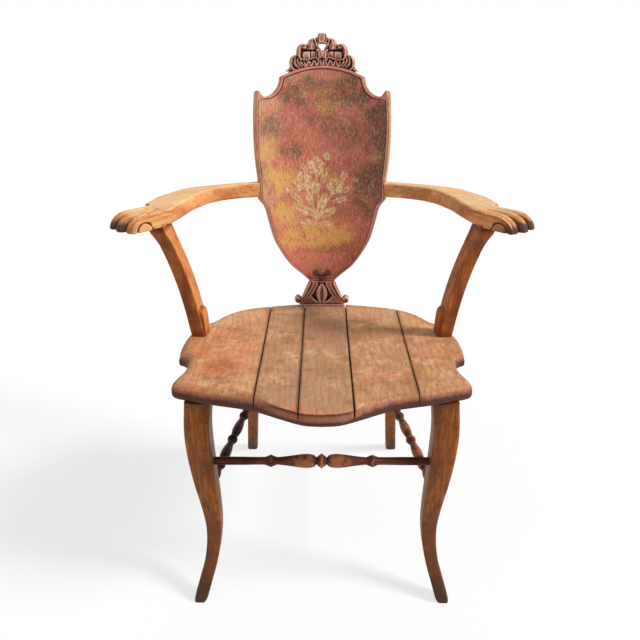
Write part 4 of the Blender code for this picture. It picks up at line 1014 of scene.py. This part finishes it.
base = [(u, arch_line(u) + 0.4) for u in range(-62, 63, 4)]
crest_slab(1, [*base, *CREST_TOP, *((-u, up) for u, up in reversed(CREST_TOP))], 11.0)
crest_slab(1, [(-7.6, 40.5), *FINIAL, *((-u, up) for u, up in reversed(FINIAL[1:]))], 2.6)
crest_slab(1, FINIAL_FACE, -0.8)
stroke(shape, [crest(u, 41.0 - 0.022 * u * u, 9) for u in range(-13, 14, 2)], [(0.0022, 0.0080)], FACE)
ball(shape, crest(0, 20.4, 3.4), (0.0058, 0.0062, 0.0066))
for side in (-1, 1):
    crest_slab(side, SLOT_FLOOR, 7.0)
    crest_slab(side, WING, 7.6)
    for tile, front in TILES:
        crest_slab(side, tile, front)
    fold(side, OUTER_LOOP, 8.0, 9.0)
    fold(side, PETAL, 8.5, 9.0)
    ball(shape, crest(side * 19.4, 37.4, 8), (0.0078, 0.0074, 0.0098), side * math.radians(14))
    for ribbon, behind, high in RIBBONS:
        fold(side, ribbon, behind, high)
    fold(side, [(u, up, SWAG_HALF) for u, up in SWAG], 4.0, 6.0)
    for number, rib in enumerate(END_RIBS):
        fold(side, rib, 7.4 - 0.5 * number, 6.6)
    fold(side, TAIL, 10.0, 6.0)
    for u, lean in LEAF_ROW:
        slant = 5 * math.tan(math.radians(lean))
        fold(side, [(u + way * slant, arch_line(u) + up, wide) for way, up, wide in LEAF_STEPS], 6.8, 5.6)
shape = carved(shape, CARVED_VOXEL, 1)
note_hollows(shape, 40, 0.0016)
for vert in shape.verts:
    vert.co = bent(vert.co)
finish_piece("crest_carving", shape, carved_material, 60)


# Foot: a pedestal of two fluted leaves that run down into rolled scrolls, with a pointed leaf between
# them on a low plinth, carved from one block and doweled to seat and shield. Finished like the crest.

# The foot's forms are in millimetres: across, up and, for a leaf, half width.
FOOT_FACE = 0.1684
FOOT_LEVEL = 0.42
PLINTH = ((-47, -1.5), (47, -1.5), (47, 4.5), (45.5, 5.6), (-45.5, 5.6), (-47, 4.5))
FOOT_CORE = ((-36, 4), (36, 4), (33, 24), (28, 40), (24.5, 57), (-24.5, 57), (-28, 40), (-33, 24))
FOOT_NECK = ((-15, 44), (15, 44), (18, 57), (-18, 57))
MOUND = ((0, 4), (45, 4), (40, 8.5), (31, 16), (22, 25), (18.5, 18), (10, 11), (3, 7))
LEAF_BAND = (
    (13.6, 57, 11.0), (16.4, 47, 12.6), (23.0, 35, 11.4), (29.6, 24.5, 9.4), (37.0, 15.5, 6.4),
    (44.0, 11.4, 4.4), (49.0, 12.0, 3.4),
)
FLUTES = (
    ((9.5, 57), (11.5, 47), (17.0, 36), (24.5, 24), (35, 12.5)),
    ((16.5, 57), (19.5, 46), (25.5, 35), (32.0, 23.5), (42, 13)),
    ((22.5, 57), (26.5, 46), (32.0, 34), (37.5, 24), (45, 15)),
)
SCROLL = (
    (40, 9.8), (45.5, 7.2), (50.6, 7.2), (54.4, 10.2), (54.4, 14.8), (50.8, 17.6), (47.0, 16.2),
    (46.6, 13.0),
)
MIDDLE_LEAF = (
    (-1.4, 50, 1.2), (-4.4, 43, 4.2), (-6.6, 34, 5.8), (-6.6, 24, 5.6), (-4.6, 14, 3.6), (-1.6, 6.4, 0.8),
)

shape = bmesh.new()


def foot(across, up, behind):
    """Point of the foot in millimetres from its middle on the seat, under the shield's face."""
    return Vector((across / 1000, FOOT_FACE + behind / 1000, FOOT_LEVEL + up / 1000))


def foot_slab(outline, front, back):
    """A flat part of the foot, given in millimetres."""
    outline = [(u / 1000, FOOT_LEVEL + up / 1000) for u, up in outline]
    slab(shape, outline, FOOT_FACE + front / 1000, FOOT_FACE + back / 1000)


foot_slab(PLINTH, -9.5, 18)
foot_slab(FOOT_CORE, 3.0, 19)
foot_slab(FOOT_NECK, -4.0, 18)
stroke(shape, [foot(0, up, -3.0) for up in (50, 40, 30, 20, 10)], [(0.0030, 0.0040)], FACE, 8)
for side in (-1, 1):
    foot_slab([(side * u, up) for u, up in MOUND], -6.4, 18)
    band = smooth_run(LEAF_BAND, 4)
    size = [(wide / 1000, min(0.0105, 0.0050 + 0.0007 * wide)) for _, _, wide in band]
    stroke(shape, [foot(side * u, up, 3) for u, up, _ in band], size, FACE, 16)
    for flute in FLUTES:
        path = smooth_run(flute, 4)
        size = [(0.0022 * ease(abs(step - 8), 9.5, 4) + 0.0004, 0.0034) for step in range(len(path))]
        behind = [-5.6 if 1 < step < 14 else -4.0 for step in range(len(path))]
        stroke(shape, [foot(side * u, up, at) for (u, up), at in zip(path, behind)], size, FACE, 4)
    curl = smooth_run(SCROLL, 4)
    stroke(shape, [foot(side * u, up, 3.5) for u, up in curl], [(0.0024, 0.0100)], FACE)
    ball(shape, foot(side * 50.2, 12.6, 3.5), (0.0030, 0.0098, 0.0031))
    leaf = smooth_run(MIDDLE_LEAF, 4)
    size = [(wide / 1000, 0.0056 + wide / 1400) for _, _, wide in leaf]
    stroke(shape, [foot(side * -u, up, -1.5) for u, up, _ in leaf], size, FACE, 6)
shape = carved(shape, CARVED_VOXEL, 1)
on_seat = SEAT_PLACE @ Vector((0, 0, GLUE_GAP))
cut_away(shape, on_seat, -seat_up)
back_up = (BACK_PLACE.to_3x3() @ Vector((0, 0, 1))).normalized()
cut_away(shape, BACK_PLACE @ Vector((0, 0, -GLUE_GAP)), back_up)
note_hollows(shape, 40, 0.0018)
finish_piece("foot_carving", shape, carved_material, 60)


# Berries: three round berries carved from one small piece and glued to the tip of the shield.
# Stained darker than the paint around them.

BERRIES = ((-0.0124, 0.0176), (0.0124, 0.0176), (0, 0.0062))
BERRY_RADII = (0.0062, 0.0060, 0.0061)
BERRY_STALK = ((-0.0124, -0.0008, 0.0176), (0, -0.0008, 0.0085), (0.0124, -0.0008, 0.0176))
BERRY_VOXEL = 0.0006
BERRY_BACK = 0.0009

berry_material = carved_paint(
    "berry_dark_stain", ((64, 33, 29), (86, 46, 39), (104, 60, 50)), (58, 31, 27), (24, 12, 12),
    (128, 78, 66),
)
shape = bmesh.new()
for across, up in BERRIES:
    ball(shape, Vector((across, -0.0040, up)), BERRY_RADII)
stroke(shape, BERRY_STALK, [(0.003, 0.0020)], FACE)
shape = carved(shape, BERRY_VOXEL, 2)
cut_away(shape, (0, BERRY_BACK, 0), (0, 1, 0))
note_hollows(shape, 8, 0.0006)
for vert in shape.verts:
    vert.co = bent(vert.co)
finish_piece("berry_cluster", shape, berry_material, 60)


# Arm posts: square sticks that lean outwards, cut back below a wider head, with an upright heel on the
# inner side, glued into the seat below and the arm above. The same worn bare wood as the legs, with
# painted shade on the front faces, in the hollows, at the foot and under the arm, and painted light on
# the left one's inner side, a little of it on the right one's.

POST_BASE = Vector((0.2325, 0.0200, 0.4297))
POST_TOP = Vector((0.2855, 0.0200, 0.6480))
POST_LINE = (
    (-0.06, 0.0120, 0.0172, 0.0018), (0.10, 0.0122, 0.0172, 0.0022), (0.30, 0.0124, 0.0170, 0.0030),
    (0.50, 0.0124, 0.0170, 0.0032), (0.70, 0.0124, 0.0170, 0.0032), (0.82, 0.0126, 0.0172, 0.0030),
    (0.88, 0.0131, 0.0182, 0.0016), (0.92, 0.0137, 0.0198, 0.0004), (0.945, 0.0140, 0.0210, 0),
    (1, 0.0140, 0.0210, 0),
)
HEEL_LINE = (
    (0.425, 0.2158, 0.0150), (0.450, 0.2162, 0.0150), (0.472, 0.2176, 0.0146), (0.480, 0.2196, 0.0136),
    (0.484, 0.2230, 0.0110),
)
HEEL_OUTER = 0.232
HEEL_MIDDLE = 0.0212
POST_TURN = math.radians(7)
POST_BOW = 0.0080
POST_HALF = 0.014
POST_CORNER = 0.0011
HEEL_CORNER = 0.0030
ARM_GAP = 0.0001
SMOOTH_VOXEL = 0.0009

post_material = bare_wood(
    "post_worn_wood", GRAIN_ALONG_Z, ((116, 54, 14), (166, 87, 28), (204, 121, 50)), (96, 47, 17),
    ((114, 55, 20), (52, 28, 17)), (222, 146, 80),
)
shape = bmesh.new()
across = Vector((math.cos(POST_TURN), math.sin(POST_TURN), 0))
ahead = Vector((-math.sin(POST_TURN), math.cos(POST_TURN), 0))
sections = []
for share, wide, deep, back in smooth_run(POST_LINE, 3):
    bow = POST_BOW * math.sin(math.pi * min(max(share, 0), 1))
    middle = POST_BASE.lerp(POST_TOP, share) + Vector((-bow, back, 0))
    middle.x -= POST_HALF - wide
    sections.append(ring(middle, across, ahead, wide, deep, POST_CORNER, 2))
swept(shape, sections)
sections = []
for level, inner, deep in smooth_run(HEEL_LINE, 3):
    middle = Vector(((inner + HEEL_OUTER) / 2, HEEL_MIDDLE, level))
    sections.append(ring(middle, across, ahead, (HEEL_OUTER - inner) / 2, deep, HEEL_CORNER))
swept(shape, sections)
shape = carved(shape, SMOOTH_VOXEL, 1)
note_hollows(shape, 12, 0.0011)
shade, bleach_and_painted_light = new_notes(shape, "shade", "bleach_and_painted_light")
hollow = shape.verts.layers.float["hollow"]
cut_away(shape, on_seat, -seat_up)
cut_away(shape, POST_TOP - Vector((0, 0, ARM_GAP)), (0, 0, 1))
shape.normal_update()
for vert in shape.verts:
    # Painted shade at the foot, under the arm, in the hollows and on the front faces.
    vert[shade] = 0.10 + 0.25 * ease(vert.co.z, 0.452, 0.43) + 0.5 * ease(vert.co.z, 0.634, 0.646)
    vert[shade] += 0.8 * max(0, vert[hollow]) + 0.25 * ease(-vert.normal.y, 0.6, 0.95)
    # Paler on the inner side: painted light.
    vert[bleach_and_painted_light] = 0.8 * ease(-vert.normal.x, 0.6, 0.95)
finish_piece("arm_post_left", mirror_image(shape), post_material, 40)
# The right post keeps a fifth of that painted light.
for vert in shape.verts:
    vert[bleach_and_painted_light] *= 0.2
finish_piece("arm_post_right", shape, post_material, 40)


# Arms: each sawn from one bar that widens into a hand with three curled fingers and a half-round boss
# on the inner side, doweled to the shield's edge and standing on the post. Worn bare wood, pale from
# bleaching on top, with dirt and painted shade on the sides of the finger tips and painted shade in the
# hollows; the right arm's upright sides are darker, partly with stain, partly with painted shade.

ARM_TOP = 0.676
ARM_BOTTOM = 0.648
ARM_MIDDLE = (ARM_TOP + ARM_BOTTOM) / 2
ARM_HALF = (ARM_TOP - ARM_BOTTOM) / 2
ARM_ROOT = Vector((0.1246, 0.1892, 0.662))
ROOT_OUT = Vector((0.9251, -0.3735, 0.0692))
ROOT_GAP = 0.0004
BAR_EDGES = (
    (0.1173, 0.2028, 0.1099, 0.1846), (0.1283, 0.1983, 0.1209, 0.1801), (0.1632, 0.1909, 0.1560, 0.1722),
    (0.2099, 0.1740, 0.1900, 0.1565), (0.2400, 0.1615, 0.2139, 0.1351), (0.2650, 0.1460, 0.2270, 0.1120),
    (0.2875, 0.1180, 0.2356, 0.0928), (0.3035, 0.0930, 0.2415, 0.0705), (0.3105, 0.0700, 0.2469, 0.0505),
    (0.3142, 0.0580, 0.2545, 0.0285), (0.3138, 0.0495, 0.2600, 0.0165), (0.3060, 0.0440, 0.2670, 0.0090),
    (0.2960, 0.0420, 0.2760, 0.0030),
)
FINGERS = (
    ((0.0090, 0.0170), (0.0760, -0.0304), 0.0102), ((0.002, 0.008), (0.0600, -0.0460), 0.0108),
    ((-0.0094, -0.0072), (0.0412, -0.0538), 0.0098),
)
FINGER_HEIGHT = 0.0276
CURL = 0.036
TIP_LENGTH = 0.012
BOSS_BACK = 0.0285
BOSS_RADIUS = 0.0125
BOSS_HOLE = 0.0162
INNER_WALL = (
    (0.2469, 0.0505), (0.2530, 0.0320), (0.2590, 0.0165), (0.2672, 0.0045), (0.2774, -0.0051),
    (0.2880, -0.0150),
)
WALL_HALF = 0.009
WALL_CORNER = 0.0080
WALL_INSET = 0.0003
FINGERS_POINT = Vector((0.72, -0.69, 0))
HAND_INNER = Vector((-0.677, -0.736, 0))

arm_material = bare_wood(
    "arm_worn_wood", (0, 0, math.radians(45)), ((190, 114, 60), (230, 162, 102), (244, 192, 136)),
    (184, 100, 52), ((142, 92, 60), (66, 44, 34)), (248, 212, 160),
)
shape = bmesh.new()
up = Vector((0, 0, 1))
sections = []
for outer_x, outer_y, inner_x, inner_y in smooth_run(BAR_EDGES, 4):
    across = Vector((outer_x - inner_x, outer_y - inner_y, 0)) / 2
    middle = Vector((inner_x, inner_y, ARM_MIDDLE)) + across
    corner = 0.0050 + 0.003 * ease(outer_y, 0.17, 0.08)
    sections.append(ring(middle, across.normalized(), up, across.length, ARM_HALF, corner))
swept(shape, sections)
hand = Vector((POST_TOP.x, POST_TOP.y, ARM_BOTTOM))
for start, tip, wide in FINGERS:
    start, tip = hand + Vector((*start, 0)), hand + Vector((*tip, 0))
    along = (tip - start).normalized()
    beside = Vector((along.y, -along.x, 0))
    long = (tip - start).length
    sections = []
    for step in range(22):
        back = long * (1 - step / 21) ** 1.7
        rise = max(FINGER_HEIGHT * math.sqrt(1 - max(1 - back / CURL, 0) ** 2), 0.0015)
        narrow = wide * math.sqrt(1 - 0.85 * max(1 - back / TIP_LENGTH, 0) ** 2)
        crown = min(0.0008 + 0.0082 * ease(back, long, 0.62 * long), 0.6 * rise)
        points = [
            tip - along * back + beside * narrow * (spot / 6) + up * (rise - crown * abs(spot / 6) ** 2.2)
            for spot in range(-6, 7)
        ]
        points += [tip - along * back + beside * narrow * side - up * 0.001 for side in (1, -1)]
        sections.append(points)
    swept(shape, sections)

# Side view (along, up) of the wall round the boss, with a half-round opening for it.
boss = tip - along * BOSS_BACK
wall = [(BOSS_HOLE, 0), (0.0256, 0)]
for step in range(1, 9):
    angle = step / 8 * math.pi / 2
    wall.append((-0.0100 + 0.0358 * math.cos(angle), 0.0258 * math.sin(angle)))
wall += [(-0.030, 0.0256), (-0.030, 0), (-BOSS_HOLE, 0)]
for step in range(1, 12):
    angle = step / 12 * math.pi
    wall.append((-BOSS_HOLE * math.cos(angle), BOSS_HOLE * math.sin(angle)))
swept(shape, [
    [boss + along * run + up * rise + beside * out for run, rise in wall] for out in (0.005, 0.0122)
])
radii = (BOSS_RADIUS, BOSS_RADIUS, BOSS_RADIUS - 0.001)
path = [boss + beside * out for out in (0.004, 0.0118, 0.0130)]
stroke(shape, path, [(radius, radius) for radius in radii], up, 36)
line = [Vector((x, y, ARM_MIDDLE)) for x, y in smooth_run(INNER_WALL, 3)]
sections = []
for index, point in enumerate(line):
    inward = up.cross(line[min(index + 1, len(line) - 1)] - line[max(index - 1, 0)]).normalized()
    middle = point + inward * WALL_HALF
    sections.append(ring(middle, inward, up, WALL_HALF, ARM_HALF - WALL_INSET, WALL_CORNER))
swept(shape, sections)
shape = carved(shape, SMOOTH_VOXEL, 1)
cut_away(shape, (0, 0, ARM_BOTTOM + ARM_GAP), (0, 0, -1))
cut_away(shape, ARM_ROOT + ROOT_OUT * ROOT_GAP, -ROOT_OUT)
note_hollows(shape, 12, 0.0011)
shade, bleach_and_painted_light = new_notes(shape, "shade", "bleach_and_painted_light")
hollow = shape.verts.layers.float["hollow"]
for vert in shape.verts:
    ahead = (vert.co - hand).dot(FINGERS_POINT)
    inner = (vert.co - hand).dot(HAND_INNER)
    # Dirt and painted shade on the sides of the finger tips, painted shade in the hollows.
    upright = ease(vert.normal.z, 0.85, 0.30)
    dirt_and_shade = ease(ahead, 0.036, 0.064) * upright * (0.35 + 0.65 * ease(inner, 0.016, 0.0))
    vert[shade] = 1.1 * dirt_and_shade + 1.5 * max(0, vert[hollow])
    vert[bleach_and_painted_light] = ease(vert.normal.z, 0.5, 0.95) * ease(ahead, 0.075, 0.03)
finish_piece("arm_left", mirror_image(shape), arm_material, 60)
for vert in shape.verts:
    # The right arm gets more on its upright sides: partly stain, partly painted shade.
    ahead = (vert.co - hand).dot(FINGERS_POINT)
    upright = ease(vert.normal.z, 0.80, 0.30)
    vert[shade] += (0.30 + 0.30 * ease(ahead, 0.020, 0.050)) * upright + 0.45 * max(0, vert[hollow])
finish_piece("arm_right", shape, arm_material, 60)


# Stage: a plain pale floor that runs to the horizon, a white surround, one broad soft light from the
# right, a weaker one from the left, and the camera at standing height in front of the chair.

FLOOR_HALF = 60
FLOOR_GLOW = 1.12
FLOOR_GLOW_SHARE = 0.62
SURROUND_LIGHT = 0.30
LIGHTS = (("light_right", (-1.0, 0.16, -0.80), 15, 3.0), ("light_left", (1.0, 1.1, -0.8), 60, 0.3))
CAMERA_PLACE = (0, -1.07115, 1.010)
CAMERA_TURN = (math.radians(63.2), 0, math.radians(0.18))


def for_looks(tree, otherwise, shown):
    """One strength for what is seen or mirrored, and another for the light that falls on the chair."""
    path = put(tree, "ShaderNodeLightPath", {}).outputs
    mirrored = calc(tree, "MAXIMUM", path["Is Glossy Ray"], path["Is Transmission Ray"])
    return levels(tree, calc(tree, "MAXIMUM", path["Is Camera Ray"], mirrored), 0, 1, otherwise, shown)


floor_material, tree, face = new_material("floor_pale")
face.inputs["Base Color"].default_value = (0.88, 0.88, 0.88, 1)
face.inputs["Roughness"].default_value = 0.9
glow = put(tree, "ShaderNodeEmission", {"Strength": FLOOR_GLOW})
inputs = {0: for_looks(tree, 0, FLOOR_GLOW_SHARE), 1: face.outputs[0], 2: glow.outputs[0]}
blend = put(tree, "ShaderNodeMixShader", inputs)
tree.links.new(blend.outputs[0], tree.nodes["Material Output"].inputs["Surface"])
shape = bmesh.new()
bmesh.ops.create_grid(shape, x_segments=1, y_segments=1, size=FLOOR_HALF)
mesh = bpy.data.meshes.new("floor")
shape.to_mesh(mesh)
shape.free()
mesh.materials.append(floor_material)
in_scene("floor", mesh)

world = bpy.data.worlds.new("surround")
world.use_nodes = True
tree = world.node_tree
back = tree.nodes["Background"]
back.inputs["Color"].default_value = (1, 1, 1, 1)
tree.links.new(for_looks(tree, SURROUND_LIGHT, 1.0), back.inputs["Strength"])
bpy.context.scene.world = world

for name, toward, spread, power in LIGHTS:
    lamp = bpy.data.lights.new(name, "SUN")
    lamp.angle = math.radians(spread)
    lamp.energy = power
    in_scene(name, lamp).rotation_euler = Vector(toward).to_track_quat("-Z", "Y").to_euler()

lens = bpy.data.cameras.new("camera")
lens.sensor_width = 36
lens.lens = 36.56
camera = in_scene("camera", lens)
camera.location = CAMERA_PLACE
camera.rotation_euler = CAMERA_TURN
bpy.context.scene.camera = camera
bpy.context.scene.view_settings.view_transform = "Standard"
